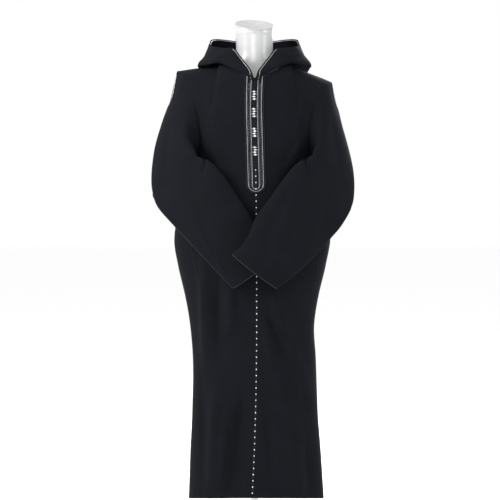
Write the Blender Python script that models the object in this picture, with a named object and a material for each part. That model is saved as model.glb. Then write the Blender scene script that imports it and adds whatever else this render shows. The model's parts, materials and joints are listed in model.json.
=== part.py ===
"""A hooded djellaba robe worn by a limbless dress form, at rest.

Metres, +Z up, origin on the floor under the form's pole. +X is the wearer's left and the front
faces -Y. Every cloth piece is a wall of even thickness, worked out from short tables of sections;
neighbouring pieces share the points of their seam and are trimmed back to leave a narrow gap.
"""

import math
from typing import NamedTuple

import bmesh
import bpy
import numpy as np


class Section(NamedTuple):
    """The body at one height: half widths to the wearer's right and left, and depths."""

    z: float
    right: float
    left: float
    front: float
    back: float
    side_y: float


class ArmholePoint(NamedTuple):
    """A point of the front's and the back's edge round the armhole, from the underarm up."""

    rise: float
    x: float
    y_front: float
    y_back: float
    climb: float  # share of the height from the underarm to the shoulder tip


class Fold(NamedTuple):
    """A soft ridge or, with a negative height, a trough, from one end to the other."""

    x1: float
    z1: float
    x2: float
    z2: float
    width: float
    height: float


class Ring(NamedTuple):
    """A sleeve's ring: its outer and inner edge, and the reach from its middle to its front."""

    outer: tuple
    inner: tuple
    front: tuple
    back_share: float


class Station(NamedTuple):
    """The hood at one place round it: its edge, and the reaches that shape its fall.

    They go over the shoulder and down from the neckline, and up from under the edge.
    """

    edge: tuple
    over: tuple
    low: tuple
    high: tuple


class FormSection(NamedTuple):
    """The dress form at one height."""

    z: float
    half_width: float
    half_depth: float


class Finish(NamedTuple):
    """A plain finish's colour, roughness and metallic."""

    colour: tuple
    roughness: float
    metallic: float


# Driving dimensions
CLOTH = 0.0018  # thickness of the wool
BRAID = 0.0012  # thickness of the placket's braid
SEAM_GAP = 0.0004  # between neighbouring pieces
CREASE_GAP = 0.0012  # where a piece turns sharply away from its neighbour
LIFT = 0.0004  # between a panel and what lies on it
UNDERARM_Z = 1.175
NECK_POINT = (0.115, 0.012, 1.487)  # where shoulder seam and neckline meet
SHOULDER_TIP = (0.247, 0.000, 1.462)
SHOULDER_RAISE = {1: -0.030, -1: 0.006}  # the wearer's left shoulder, 1, hangs lower
NAPE = (0.0, 0.100, 1.488)
THROAT = (0.0, -0.137, 1.425)  # lowest point of the neck opening
HEM_LIFT = 0.024  # how much higher the front's hem hangs at its centre
HEM_LIFT_REACH = 0.5

# Grid counts
HALF_COLUMNS = 9  # from the centre of a panel to its side
NECK_COLUMNS = 6  # those of them that end on the neckline
SKIRT_ROWS = 17  # from the hem to the underarm
CHEST_ROWS = 10  # from the underarm to the shoulder
HOOD_ROWS = 11

# The body's sections from the hem to the underarm.
SKIRT = (
    Section(0.100, 0.211, 0.222, -0.118, 0.132, 0.000),
    Section(0.250, 0.206, 0.213, -0.114, 0.128, 0.004),
    Section(0.400, 0.200, 0.203, -0.113, 0.124, 0.008),
    Section(0.550, 0.197, 0.196, -0.116, 0.122, 0.010),
    Section(0.650, 0.206, 0.191, -0.121, 0.121, 0.010),
    Section(0.750, 0.223, 0.206, -0.129, 0.121, 0.010),
    Section(0.850, 0.245, 0.229, -0.136, 0.121, 0.012),
    Section(0.930, 0.257, 0.243, -0.139, 0.121, 0.018),
    Section(1.000, 0.248, 0.239, -0.140, 0.121, 0.024),
    Section(1.070, 0.220, 0.216, -0.138, 0.120, 0.018),
    Section(1.130, 0.197, 0.196, -0.135, 0.119, 0.006),
    Section(UNDERARM_Z, 0.184, 0.184, -0.133, 0.118, -0.005),
)

ARMHOLE = (
    ArmholePoint(0.00, 0.184, -0.005, -0.005, 0.000),
    ArmholePoint(0.15, 0.175, -0.052, 0.045, 0.073),
    ArmholePoint(0.30, 0.170, -0.080, 0.070, 0.240),
    ArmholePoint(0.50, 0.176, -0.093, 0.082, 0.488),
    ArmholePoint(0.70, 0.198, -0.083, 0.074, 0.742),
    ArmholePoint(0.86, 0.226, -0.050, 0.046, 0.923),
    ArmholePoint(1.00, 0.247, 0.000, 0.000, 1.000),
)

FRONT_FOLDS = (
    Fold(0.045, 0.780, 0.105, 0.620, 0.020, 0.008),
    Fold(0.105, 0.620, 0.155, 0.430, 0.022, 0.009),
    Fold(0.020, 0.660, 0.065, 0.530, 0.016, 0.006),
    Fold(0.065, 0.500, 0.130, 0.330, 0.020, 0.006),
    Fold(-0.160, 0.860, -0.150, 0.520, 0.022, 0.009),
    Fold(-0.078, 0.780, -0.075, 0.640, 0.018, 0.006),
    Fold(-0.037, 0.460, -0.070, 0.120, 0.026, -0.008),
    Fold(-0.120, 0.480, -0.140, 0.110, 0.026, 0.007),
    Fold(0.110, 0.330, 0.140, 0.110, 0.028, 0.007),
)
BACK_FOLDS = (
    Fold(0.000, 0.900, 0.010, 0.110, 0.034, -0.009),
    Fold(0.085, 1.220, 0.110, 0.110, 0.032, 0.012),
    Fold(-0.080, 1.240, -0.100, 0.110, 0.032, 0.012),
    Fold(0.160, 0.960, 0.165, 0.300, 0.024, -0.008),
    Fold(-0.165, 0.940, -0.160, 0.260, 0.024, -0.008),
)

# The sleeves' rings from the shoulder to the cuff.
SLEEVE_LEFT = (
    Ring((0.262, 0.000, 1.362), (0.198, -0.030, 1.172), (-0.006, -0.088, 0.020), 1.0),
    Ring((0.277, 0.000, 1.308), (0.192, -0.056, 1.169), (-0.016, -0.087, 0.024), 1.0),
    Ring((0.293, -0.005, 1.244), (0.185, -0.082, 1.170), (-0.028, -0.080, 0.026), 1.0),
    Ring((0.305, -0.015, 1.173), (0.176, -0.104, 1.174), (-0.038, -0.074, 0.020), 0.95),
    Ring((0.308, -0.036, 1.090), (0.163, -0.128, 1.178), (-0.044, -0.062, 0.006), 0.85),
    Ring((0.300, -0.064, 1.026), (0.150, -0.146, 1.178), (-0.040, -0.050, -0.004), 0.75),
    Ring((0.271, -0.096, 0.976), (0.124, -0.160, 1.161), (-0.028, -0.042, -0.010), 0.65),
    Ring((0.234, -0.128, 0.933), (0.088, -0.172, 1.120), (-0.018, -0.036, -0.012), 0.60),
    Ring((0.196, -0.155, 0.893), (0.047, -0.187, 1.062), (-0.011, -0.032, -0.012), 0.55),
    Ring((0.155, -0.178, 0.854), (0.007, -0.201, 1.007), (-0.008, -0.028, -0.010), 0.55),
    Ring((0.120, -0.193, 0.824), (-0.015, -0.211, 0.957), (-0.005, -0.024, -0.008), 0.60),
    Ring((0.095, -0.202, 0.802), (-0.041, -0.217, 0.915), (-0.003, -0.021, -0.006), 0.70),
    Ring((0.070, -0.208, 0.785), (-0.068, -0.222, 0.891), (-0.002, -0.019, -0.004), 0.85),
)
SLEEVE_RIGHT = (
    Ring((-0.270, 0.000, 1.372), (-0.197, -0.030, 1.172), (0.006, -0.088, 0.020), 1.0),
    Ring((-0.293, 0.000, 1.314), (-0.192, -0.056, 1.169), (0.016, -0.087, 0.024), 1.0),
    Ring((-0.312, -0.005, 1.244), (-0.185, -0.082, 1.170), (0.028, -0.080, 0.026), 1.0),
    Ring((-0.320, -0.015, 1.173), (-0.176, -0.104, 1.174), (0.038, -0.074, 0.020), 0.95),
    Ring((-0.320, -0.036, 1.096), (-0.163, -0.126, 1.178), (0.044, -0.060, 0.006), 0.85),
    Ring((-0.304, -0.062, 1.035), (-0.150, -0.140, 1.178), (0.040, -0.046, -0.004), 0.75),
    Ring((-0.262, -0.092, 0.988), (-0.124, -0.149, 1.161), (0.028, -0.038, -0.010), 0.65),
    Ring((-0.216, -0.118, 0.939), (-0.088, -0.154, 1.120), (0.018, -0.031, -0.012), 0.60),
    Ring((-0.169, -0.136, 0.889), (-0.050, -0.157, 1.062), (0.011, -0.026, -0.011), 0.55),
    Ring((-0.134, -0.147, 0.853), (-0.012, -0.159, 1.007), (0.008, -0.021, -0.008), 0.50),
    Ring((-0.106, -0.153, 0.824), (0.018, -0.161, 0.960), (0.005, -0.018, -0.006), 0.50),
    Ring((-0.086, -0.157, 0.802), (0.045, -0.163, 0.922), (0.003, -0.016, -0.005), 0.60),
    Ring((-0.068, -0.160, 0.784), (0.070, -0.164, 0.886), (0.002, -0.015, -0.004), 0.75),
)
SLEEVE_FADE = (0.55, 0.25, 0.08)  # how much of the armhole's shape the first rings keep

# The hood's stations round the wearer's left half, from the throat to the nape.
HOOD = (
    Station((0.0032, -0.140, 1.432), (0.001, -0.001, 0.002), (0.001, -0.002, 0.004), (0.001, -0.001, -0.002)),
    Station((0.0118, -0.134, 1.456), (0.003, -0.006, 0.003), (-0.004, -0.008, 0.008), (0.005, -0.005, -0.005)),
    Station((0.0262, -0.121, 1.477), (0.009, -0.017, 0.003), (0.000, -0.021, 0.011), (0.012, -0.012, -0.011)),
    Station((0.0445, -0.107, 1.502), (0.012, -0.018, 0.006), (0.008, -0.028, 0.004), (0.023, -0.021, -0.018)),
    Station((0.0640, -0.095, 1.528), (0.021, -0.023, 0.009), (0.018, -0.040, -0.008), (0.030, -0.026, -0.026)),
    Station((0.0950, -0.082, 1.531), (0.042, -0.025, 0.011), (0.050, -0.047, -0.028), (0.042, -0.023, -0.038)),
    Station((0.1260, -0.054, 1.539), (0.074, -0.012, 0.005), (0.080, -0.034, -0.034), (0.042, 0.003, -0.042)),
    Station((0.1410, -0.008, 1.548), (0.075, 0.015, 0.001), (0.080, -0.005, -0.034), (0.036, 0.009, -0.050)),
    Station((0.1410, 0.045, 1.571), (0.066, 0.045, 0.004), (0.084, 0.052, -0.060), (0.034, 0.040, -0.100)),
    Station((0.1260, 0.095, 1.582), (0.040, 0.060, 0.020), (0.068, 0.076, -0.166), (0.036, 0.080, -0.205)),
    Station((0.0940, 0.135, 1.585), (0.020, 0.060, 0.032), (0.050, 0.057, -0.288), (0.026, 0.082, -0.290)),
    Station((0.0480, 0.158, 1.582), (0.008, 0.053, 0.036), (0.025, 0.043, -0.398), (0.014, 0.080, -0.370)),
    Station((0.0000, 0.164, 1.580), (0.000, 0.050, 0.036), (0.000, 0.040, -0.438), (0.000, 0.076, -0.400)),
)

# The dress form, from the bottom of its torso to the top of its neck.
FORM = (
    FormSection(0.790, 0.110, 0.070),
    FormSection(0.798, 0.142, 0.091),
    FormSection(0.820, 0.160, 0.098),
    FormSection(0.870, 0.170, 0.101),
    FormSection(0.940, 0.168, 0.100),
    FormSection(1.020, 0.150, 0.096),
    FormSection(1.090, 0.140, 0.090),
    FormSection(1.170, 0.147, 0.096),
    FormSection(1.260, 0.156, 0.101),
    FormSection(1.340, 0.160, 0.100),
    FormSection(1.395, 0.160, 0.092),
    FormSection(1.425, 0.146, 0.082),
    FormSection(1.445, 0.122, 0.074),
    FormSection(1.462, 0.096, 0.067),
    FormSection(1.480, 0.074, 0.061),
    FormSection(1.505, 0.061, 0.058),
    FormSection(1.550, 0.059, 0.058),
    FormSection(1.590, 0.061, 0.060),
)
FORM_SIDES = 32
NECK_SLOPE_FRONT = math.radians(20.5)  # the neck's flat top leans forward
NECK_SLOPE_SIDE = math.radians(3.6)  # and a little to the wearer's left
NECK_TOP_Z = 1.612
NECK_RADIUS = 0.0622
NECK_ROOM = 0.03  # between the last level section and the sloping top
CAP_OVERHANG = 0.0004
CAP_THICKNESS = 0.004
POLE_RADIUS = 0.0125
POLE_TOP = 0.7896
BASE_RADIUS = 0.170
BASE_HEIGHT = 0.014

# Trims
PLACKET_BOTTOM = 1.076
PLACKET_HALF_WIDTH = 0.0302
KNOT_RADIUS = 0.0034
KNOT_PITCH = 0.0076
KNOT_GROUPS = (1.378, 1.325, 1.264, 1.2065)  # heights of the middles of the groups
KNOTS_IN_GROUP = 4
CORD_RADIUS = 0.0012
BRAID_RADIUS = 0.0013
KNOT_CLEARANCE = 0.0004
SLIT_TOP = 0.914
SLIT_BOTTOM = 0.764
SLIT_X = 0.205
SLIT_LEAN = 0.18  # how far it comes forward for each metre down
SHOULDER_BRAID_FROM_X = 0.205
KNOT_SIDES = 8

BLACK_WOOL = Finish((0.013, 0.014, 0.019), 0.92, 0.0)
SILVER_BRAID = Finish((0.36, 0.37, 0.38), 0.55, 0.3)
WHITE_KNOT = Finish((0.86, 0.86, 0.84), 0.70, 0.0)
WHITE_GLOSS = Finish((0.80, 0.80, 0.79), 0.18, 0.0)
CAP_GREY = Finish((0.62, 0.61, 0.60), 0.35, 0.0)
STEEL = Finish((0.62, 0.62, 0.62), 0.30, 1.0)


def material_of(name, finish):
    material = bpy.data.materials.new(name)
    material.use_nodes = True
    shader = material.node_tree.nodes["Principled BSDF"]
    shader.inputs["Base Color"].default_value = (*finish.colour, 1.0)
    shader.inputs["Roughness"].default_value = finish.roughness
    shader.inputs["Metallic"].default_value = finish.metallic
    return material


def object_of(name, mesh, material):
    mesh.materials.append(material)
    thing = bpy.data.objects.new(name, mesh)
    bpy.context.scene.collection.objects.link(thing)
    return thing


def smooth_through(keys, rows, at):
    """Rows read at each of at, on the smooth curve through the rows at their keys."""
    keys, rows, at = np.asarray(keys), np.asarray(rows, float), np.asarray(at, float)
    slopes = np.gradient(rows, keys, axis=0)
    low = np.clip(np.searchsorted(keys, at, side="right") - 1, 0, len(keys) - 2)
    span = (keys[low + 1] - keys[low])[:, None]
    t = (at - keys[low])[:, None] / span
    start = rows[low] * (2 * t**3 - 3 * t**2 + 1) + slopes[low] * span * (t**3 - 2 * t**2 + t)
    end = rows[low + 1] * (3 * t**2 - 2 * t**3) + slopes[low + 1] * span * (t**3 - t**2)
    return start + end


def fold_height(folds, x, z):
    """The folds' height at each point, fading out softly past the ends of each."""
    height = np.zeros(np.shape(x))
    for x1, z1, x2, z2, width, most in folds:
        along = np.array((x2 - x1, z2 - z1))
        length = np.hypot(*along)
        t = ((x - x1) * along[0] + (z - z1) * along[1]) / length**2
        inside = np.clip(t, 0, 1)
        off = np.hypot(x - x1 - inside * along[0], (z - z1 - inside * along[1]) * 0.5)
        height = height + most * np.exp(-((off / width) ** 2))
    return height


def side_share(columns):
    """How far each column is from the centre to the side, from 0 to 1."""
    return np.linspace(0, 1, columns + 1)


def skirt_rows(sign, front):
    """The rows of half a panel below the underarm, each from the centre to the side."""
    # Rows lie closer together near the underarm, where the section changes fastest.
    hem = SKIRT[0].z
    z = hem + (UNDERARM_Z - hem) * np.linspace(0, 1, SKIRT_ROWS + 1) ** 0.9
    section = smooth_through([row.z for row in SKIRT], SKIRT, z)[..., None]
    half = section[:, 2 if sign > 0 else 1]
    depth = section[:, 3 if front else 4]
    side_y = section[:, 5]
    turn = math.pi / 2 * side_share(HALF_COLUMNS)[None]
    x = sign * half * np.sin(turn)
    y = side_y + (depth - side_y) * np.cos(turn) ** 0.9
    z = np.repeat(z[:, None], HALF_COLUMNS + 1, 1)
    # Folds die out at the side seam and below the underarm, so that the halves still meet.
    fade = np.cos(turn) ** 0.5 * np.clip((UNDERARM_Z - z) / 0.12, 0, 1)
    folds = fold_height(FRONT_FOLDS if front else BACK_FOLDS, x, z) * fade
    if front:
        z = z + HEM_LIFT * np.cos(turn) * np.clip(1 - (z - hem) / HEM_LIFT_REACH, 0, 1) ** 2
    return np.stack((x, y + (-folds if front else folds), z), -1)


def top_row(sign, front):
    """The neckline and then the shoulder seam, from the centre to the shoulder tip."""
    centre = THROAT if front else NAPE
    turn = np.linspace(0, math.pi / 2, NECK_COLUMNS + 1)
    neck = np.stack(
        (
            NECK_POINT[0] * np.sin(turn),
            NECK_POINT[1] + (centre[1] - NECK_POINT[1]) * np.cos(turn),
            centre[2] + (NECK_POINT[2] - centre[2]) * np.sin(turn),
        ),
        -1,
    )
    along = np.linspace(0, 1, HALF_COLUMNS - NECK_COLUMNS + 1)[1:, None]
    tip = np.array(SHOULDER_TIP) + (0, 0, SHOULDER_RAISE[sign])
    shoulder = np.array(NECK_POINT) * (1 - along) + tip * along
    return np.concatenate((neck, shoulder)) * (sign, 1, 1)


def armhole_edge(sign, front):
    """The panel's edge round the armhole, from the underarm to the shoulder tip."""
    table = np.array(ARMHOLE)
    rise = np.linspace(0, 1, CHEST_ROWS + 1)
    x, y, climb = smooth_through(table[:, 0], table[:, [1, 2 if front else 3, 4]], rise).T
    z = UNDERARM_Z + (SHOULDER_TIP[2] - UNDERARM_Z) * climb + SHOULDER_RAISE[sign] * climb**3
    return np.stack((sign * x, y, z), -1)


def chest_rows(sign, front, low, top):
    """The rows of half a panel from the underarm row, low, to the top row."""
    rise = np.linspace(0, 1, CHEST_ROWS + 1)[:, None]
    ease = rise**2 * (3 - 2 * rise)
    climb = np.sin(math.pi / 2 * rise)
    x = low[:, 0] + (top[:, 0] - low[:, 0]) * ease
    y = top[:, 1] + (low[:, 1] - top[:, 1]) * (1 - climb**2.4) ** (1 / 2.4)
    z = low[:, 2] + (top[:, 2] - low[:, 2]) * climb
    # Each row is then fitted to its end on the armhole, keeping its own shape.
    end = armhole_edge(sign, front)
    x += (end[:, :1] - x[:, -1:]) * side_share(HALF_COLUMNS)[None] ** (2 + 3 * rise)
    y = y[:, :1] + (y - y[:, :1]) * (end[:, 1:2] - y[:, :1]) / (y[:, -1:] - y[:, :1])
    z += (end[:, 2:] - z[:, -1:]) * side_share(HALF_COLUMNS)[None] ** 3
    return np.stack((x, y, z), -1)


def half_panel(sign, front):
    """Half a panel's grid: rows from the hem to the shoulder, columns from the centre out."""
    skirt = skirt_rows(sign, front)
    chest = chest_rows(sign, front, skirt[-1], top_row(sign, front))
    return np.concatenate((skirt, chest[1:]))


def armhole_loop(front, back):
    """Round the armhole from the underarm up the front's edge and down the back's."""
    up = front[SKIRT_ROWS:, -1]
    down = back[SKIRT_ROWS:, -1][::-1]
    return np.concatenate((up, down[1:-1]))


def sleeve_grid(loop, rings):
    """The sleeve's rings, the first on the armhole's own points."""
    turn = np.linspace(0, 2 * math.pi, len(loop), endpoint=False)
    outer, inner, front, back_share = (np.array(column) for column in zip(*rings))
    middle, reach = (outer + inner) / 2, (outer - inner) / 2
    forward = np.sin(turn)[None]
    forward = np.where(forward < 0, forward * back_share[:, None], forward)
    even = (
        middle[:, None]
        - np.cos(turn)[None, :, None] * reach[:, None]
        + forward[:, :, None] * front[:, None]
    )
    half = len(loop) // 2
    loop_middle, loop_reach = (loop[half] + loop[0]) / 2, (loop[half] - loop[0]) / 2
    loop_front = (loop[half // 2] - loop[half + half // 2]) / 2
    own = (
        loop
        - loop_middle
        + np.cos(turn)[:, None] * loop_reach
        - np.sin(turn)[:, None] * loop_front
    )
    for ring, keep in enumerate(SLEEVE_FADE):
        even[ring] += own * keep
    return np.concatenate((loop[None], even))


def hood_grid(front_left, back_left, front_right, back_right):
    """The hood's rows from the neckline to its edge, round from the throat and back to it."""
    last = NECK_COLUMNS + 1
    left = np.concatenate((front_left[-1, :last], back_left[-1, : last - 1][::-1]))
    right = np.concatenate((front_right[-1, :last], back_right[-1, : last - 1][::-1]))
    base = np.concatenate((left, right[-2::-1]))
    halves = (np.array(column) for column in zip(*HOOD))
    edge, over, low, high = (np.concatenate((half, half[-2::-1] * (-1, 1, 1))) for half in halves)
    t = np.linspace(0, 1, HOOD_ROWS + 1)[:, None, None]
    return (
        base * (1 - t) ** 4
        + (base + over) * 4 * t * (1 - t) ** 3
        + (base + low) * 6 * t**2 * (1 - t) ** 2
        + (edge + high) * 4 * t**3 * (1 - t)
        + edge * t**4
    )


class Patch:
    """A grid of points on a piece's outer side, with the edges that meet a neighbour."""

    def __init__(self, grid, seams="", closed=False, outward=1, gap=SEAM_GAP):
        self.grid = grid
        self.gap = gap
        self.seams = seams.split()
        self.closed = closed
        self.outward = outward
        self.normals = None

    def cells(self):
        """The corners of each cell as (row, column) pairs, anticlockwise from outside."""
        rows, columns = self.grid.shape[:2]
        for i in range(rows - 1):
            for j in range(columns if self.closed else columns - 1):
                k = (j + 1) % columns
                corners = ((i, j), (i, k), (i + 1, k), (i + 1, j))
                yield corners if self.outward > 0 else corners[::-1]

    def triangles(self):
        """The cells as triangles of point numbers, cut along the shorter diagonal."""
        columns = self.grid.shape[1]
        for corners in self.cells():
            a, b, c, d = (self.grid[corner] for corner in corners)
            p, q, r, s = (i * columns + j for i, j in corners)
            if np.linalg.norm(c - a) <= np.linalg.norm(d - b):
                yield from ((p, q, r), (p, r, s))
            else:
                yield from ((p, q, s), (q, r, s))

    def trimmed(self):
        """The grid with each seam edge drawn back by half the seam's gap."""
        grid = self.grid.copy()
        edges = {"bottom": (0, 1, 0), "top": (-1, -2, 0), "first": (0, 1, 1), "last": (-1, -2, 1)}
        for seam in self.seams:
            edge, next_in, axis = edges[seam]
            at = np.take(self.grid, edge, axis)
            back = np.take(self.grid, next_in, axis) - at
            back *= self.gap / 2 / np.linalg.norm(back, axis=1, keepdims=True)
            if axis == 0:
                grid[edge] += back
            else:
                grid[:, edge] += back
        return grid


def key_of(point):
    return tuple(int(value) for value in np.round(point * 1e6))


def share_normals(patches):
    """Gives every patch its points' normals, the same on both sides of a seam that runs on smoothly.

    Where two pieces turn back on each other, as under the arm, each keeps its own normal.
    """
    met = {}
    for patch in patches:
        patch.normals = np.zeros_like(patch.grid)
        for corners in patch.cells():
            a, b, c, d = (patch.grid[corner] for corner in corners)
            for corner in corners:
                patch.normals[corner] += np.cross(c - a, d - b)
        for place in np.ndindex(patch.grid.shape[:2]):
            met.setdefault(key_of(patch.grid[place]), []).append(patch.normals[place].copy())
    for patch in patches:
        for place in np.ndindex(patch.grid.shape[:2]):
            own = patch.normals[place].copy()
            total = own * 0
            for other in met[key_of(patch.grid[place])]:
                alike = own @ other / (np.linalg.norm(own) * np.linalg.norm(other))
                total += other * min(max(1.5 * alike, 0.0), 1.0)
            patch.normals[place] = total / np.linalg.norm(total)


def wall_object(name, patch, thickness, material):
    """A closed wall: the patch's points outside, and inside the same points moved in."""
    outer = patch.trimmed().reshape(-1, 3)
    inner = outer - patch.normals.reshape(-1, 3) * thickness
    count = len(outer)
    faces = list(patch.triangles())
    sides = {(face[i], face[(i + 1) % 3]) for face in faces for i in range(3)}
    rim = [side for side in sides if side[::-1] not in sides]
    solid = faces + [(c + count, b + count, a + count) for a, b, c in faces]
    for a, b in sorted(rim):
        solid += [(b, a, a + count), (b, a + count, b + count)]
    mesh = bpy.data.meshes.new(name)
    mesh.from_pydata(np.concatenate((outer, inner)).tolist(), [], solid)
    mesh.shade_smooth()
    mesh.set_sharp_from_angle(angle=math.radians(50))
    return object_of(name, mesh, material)


def cord_object(name, points, radius, material, closed=False):
    """A round cord through the points, which are its centreline."""
    curve = bpy.data.curves.new(name, "CURVE")
    curve.dimensions = "3D"
    curve.bevel_depth = radius
    curve.bevel_resolution = 1
    curve.use_fill_caps = True
    spline = curve.splines.new("POLY")
    spline.points.add(len(points) - 1)
    spline.use_cyclic_u = closed
    for point, at in zip(spline.points, points):
        point.co = (*at, 1.0)
    return object_of(name, curve, material)


def on_grid(values, row, column):
    """The grid's value at a fractional row and column."""
    i, j = int(min(row, len(values) - 2)), int(min(column, len(values[0]) - 2))
    u, v = row - i, column - j
    low = values[i, j] * (1 - v) + values[i, j + 1] * v
    high = values[i + 1, j] * (1 - v) + values[i + 1, j + 1] * v
    return low * (1 - u) + high * u


def row_at_height(grid, z):
    """The fractional row whose centre point is at height z."""
    heights = grid[:, 0, 2]
    return float(np.interp(z, heights, np.arange(len(heights))))


def column_at_x(grid, row, x):
    """The fractional column of the row where the panel is x from the centre."""
    i = int(row)
    above = grid[min(i + 1, len(grid) - 1), :, 0]
    across = np.abs(grid[i, :, 0] * (1 - row + i) + above * (row - i))
    return float(np.interp(x, across, np.arange(len(across))))


def make_placket(name, panel, material):
    """The braid band on one side of the opening, rounded at its bottom."""
    radius = PLACKET_HALF_WIDTH
    rounding = [PLACKET_BOTTOM + radius * (1 - math.cos(turn)) for turn in np.linspace(0.35, 1.57, 4)]
    heights = rounding + [z for z in panel.grid[:, 0, 2] if z > rounding[-1] + 0.005]
    heights[-1] -= SEAM_GAP
    rows, normals = [], []
    for z in heights:
        row = row_at_height(panel.grid, z)
        drop = max(0.0, PLACKET_BOTTOM + radius - z)
        half = math.sqrt(max(radius**2 - drop**2, 0))
        columns = [column_at_x(panel.grid, row, x) for x in (SEAM_GAP, half / 3, half * 2 / 3, half)]
        out = [on_grid(panel.normals, row, column) for column in columns]
        base = [on_grid(panel.grid, row, column) for column in columns]
        rows.append([b + o * (LIFT + BRAID) for b, o in zip(base, out)])
        normals.append(out)
    patch = Patch(np.array(rows), outward=1 if "left" in name else -1)
    patch.normals = np.array(normals)
    return wall_object(name, patch, BRAID, material)


def make_knots(panel, material):
    """The white knots, in groups down the opening, lying on the braid."""
    mesh = bpy.data.meshes.new("knot")
    shape = bmesh.new()
    bmesh.ops.create_uvsphere(shape, u_segments=KNOT_SIDES, v_segments=6, radius=KNOT_RADIUS)
    shape.to_mesh(mesh)
    shape.free()
    mesh.shade_smooth()
    mesh.materials.append(material)
    number = 0
    for middle in KNOT_GROUPS:
        for step in range(KNOTS_IN_GROUP):
            number += 1
            z = middle + (KNOTS_IN_GROUP / 2 - 0.5 - step) * KNOT_PITCH
            at = on_grid(panel.grid, row_at_height(panel.grid, z), 0.0)
            knot = bpy.data.objects.new(f"knot_{number}", mesh)
            knot.location = (0, at[1] - 2 * LIFT - BRAID - KNOT_RADIUS - KNOT_CLEARANCE, z)
            bpy.context.scene.collection.objects.link(knot)


def make_arm_braid(name, panel, sleeve, material):
    """The braid along the shoulder seam and down the sleeve's outer edge to the cuff."""
    half = sleeve.grid.shape[1] // 2
    shoulder = [
        point + out * (BRAID_RADIUS + LIFT)
        for point, out in zip(panel.grid[-1], panel.normals[-1])
        if abs(point[0]) >= SHOULDER_BRAID_FROM_X
    ]
    arm = sleeve.grid[1:, half] + sleeve.normals[1:, half] * (BRAID_RADIUS + LIFT)
    return cord_object(name, shoulder + list(arm), BRAID_RADIUS, material)


def make_edge_cord(name, patch, material, closed=False):
    """A cord just past the last row of a piece."""
    edge = patch.grid[-1]
    along = np.roll(edge, -1, 0) - np.roll(edge, 1, 0) if closed else np.gradient(edge, axis=0)
    along /= np.linalg.norm(along, axis=1, keepdims=True)
    past = edge - patch.grid[-2]
    past -= along * (past * along).sum(1, keepdims=True)
    past /= np.linalg.norm(past, axis=1, keepdims=True)
    middle = patch.normals[-1] * CLOTH / 2
    points = edge - middle + past * (CORD_RADIUS + 2 * LIFT)
    return cord_object(name, points, CORD_RADIUS, material, closed)


def make_slit_cord(name, panel, material):
    """The edging of a side slit, on the panel near its side seam."""
    points = []
    for z in np.linspace(SLIT_TOP, SLIT_BOTTOM, 7):
        row = row_at_height(panel.grid, z)
        lean = (SLIT_TOP - z) * SLIT_LEAN
        column = column_at_x(panel.grid, row, SLIT_X - lean)
        out = on_grid(panel.normals, row, column)
        points.append(on_grid(panel.grid, row, column) + out * (CORD_RADIUS + 3 * LIFT))
    return cord_object(name, points, CORD_RADIUS, material)


def neck_top_height(x, y):
    """The height of the neck's sloping top at a place."""
    return NECK_TOP_Z + y * math.tan(NECK_SLOPE_FRONT) - x * math.tan(NECK_SLOPE_SIDE)


def make_form(material):
    """The torso and neck, lofted through its sections, whole and closed."""
    turn = np.linspace(0, 2 * math.pi, FORM_SIDES, endpoint=False)
    keys = [row.z for row in FORM]
    z = np.concatenate([np.linspace(a, b, 2, endpoint=False) for a, b in zip(keys, keys[1:])])
    section = smooth_through(keys, FORM, z)
    rings = [
        np.stack((width * np.cos(turn), depth * np.sin(turn), np.full(FORM_SIDES, height)), -1)
        for height, width, depth in section
        if height < NECK_TOP_Z - NECK_ROOM
    ]
    x, y = NECK_RADIUS * np.cos(turn), NECK_RADIUS * np.sin(turn)
    rings.append(np.stack((x, y, neck_top_height(x, y)), -1))
    points = np.concatenate(rings)
    sides = FORM_SIDES
    faces = []
    for i in range(0, (len(rings) - 1) * sides, sides):
        for j in range(sides):
            k = (j + 1) % sides
            faces.append((i + j, i + k, i + sides + k, i + sides + j))
    faces.append(tuple(range(sides))[::-1])
    faces.append(tuple(range((len(rings) - 1) * sides, len(rings) * sides)))
    mesh = bpy.data.meshes.new("form_torso")
    mesh.from_pydata(points.tolist(), [], faces)
    mesh.shade_smooth()
    mesh.set_sharp_from_angle(angle=math.radians(40))
    return object_of("form_torso", mesh, material)


def make_neck_cap(material):
    """The flat plate on the neck's sloping top."""
    turn = np.linspace(0, 2 * math.pi, FORM_SIDES, endpoint=False)
    radius = NECK_RADIUS + CAP_OVERHANG
    x, y = radius * np.cos(turn), radius * np.sin(turn)
    low = np.stack((x, y, neck_top_height(x, y) + SEAM_GAP), -1)
    high = low + (0, 0, CAP_THICKNESS)
    sides = FORM_SIDES
    faces = [(j, (j + 1) % sides, sides + (j + 1) % sides, sides + j) for j in range(sides)]
    faces += [tuple(range(sides))[::-1], tuple(range(sides, 2 * sides))]
    mesh = bpy.data.meshes.new("neck_cap")
    mesh.from_pydata(np.concatenate((low, high)).tolist(), [], faces)
    return object_of("neck_cap", mesh, material)


def make_cylinder(name, radius, bottom, top, sides, material, bevel=0.0):
    mesh = bpy.data.meshes.new(name)
    shape = bmesh.new()
    bmesh.ops.create_cone(
        shape, cap_ends=True, segments=sides, radius1=radius, radius2=radius, depth=top - bottom
    )
    shape.to_mesh(mesh)
    shape.free()
    mesh.shade_smooth()
    mesh.set_sharp_from_angle(angle=math.radians(40))
    thing = object_of(name, mesh, material)
    thing.location.z = (top + bottom) / 2
    if bevel:
        edge = thing.modifiers.new("rounded edge", "BEVEL")
        edge.width = bevel
        edge.segments = 2
    return thing


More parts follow.
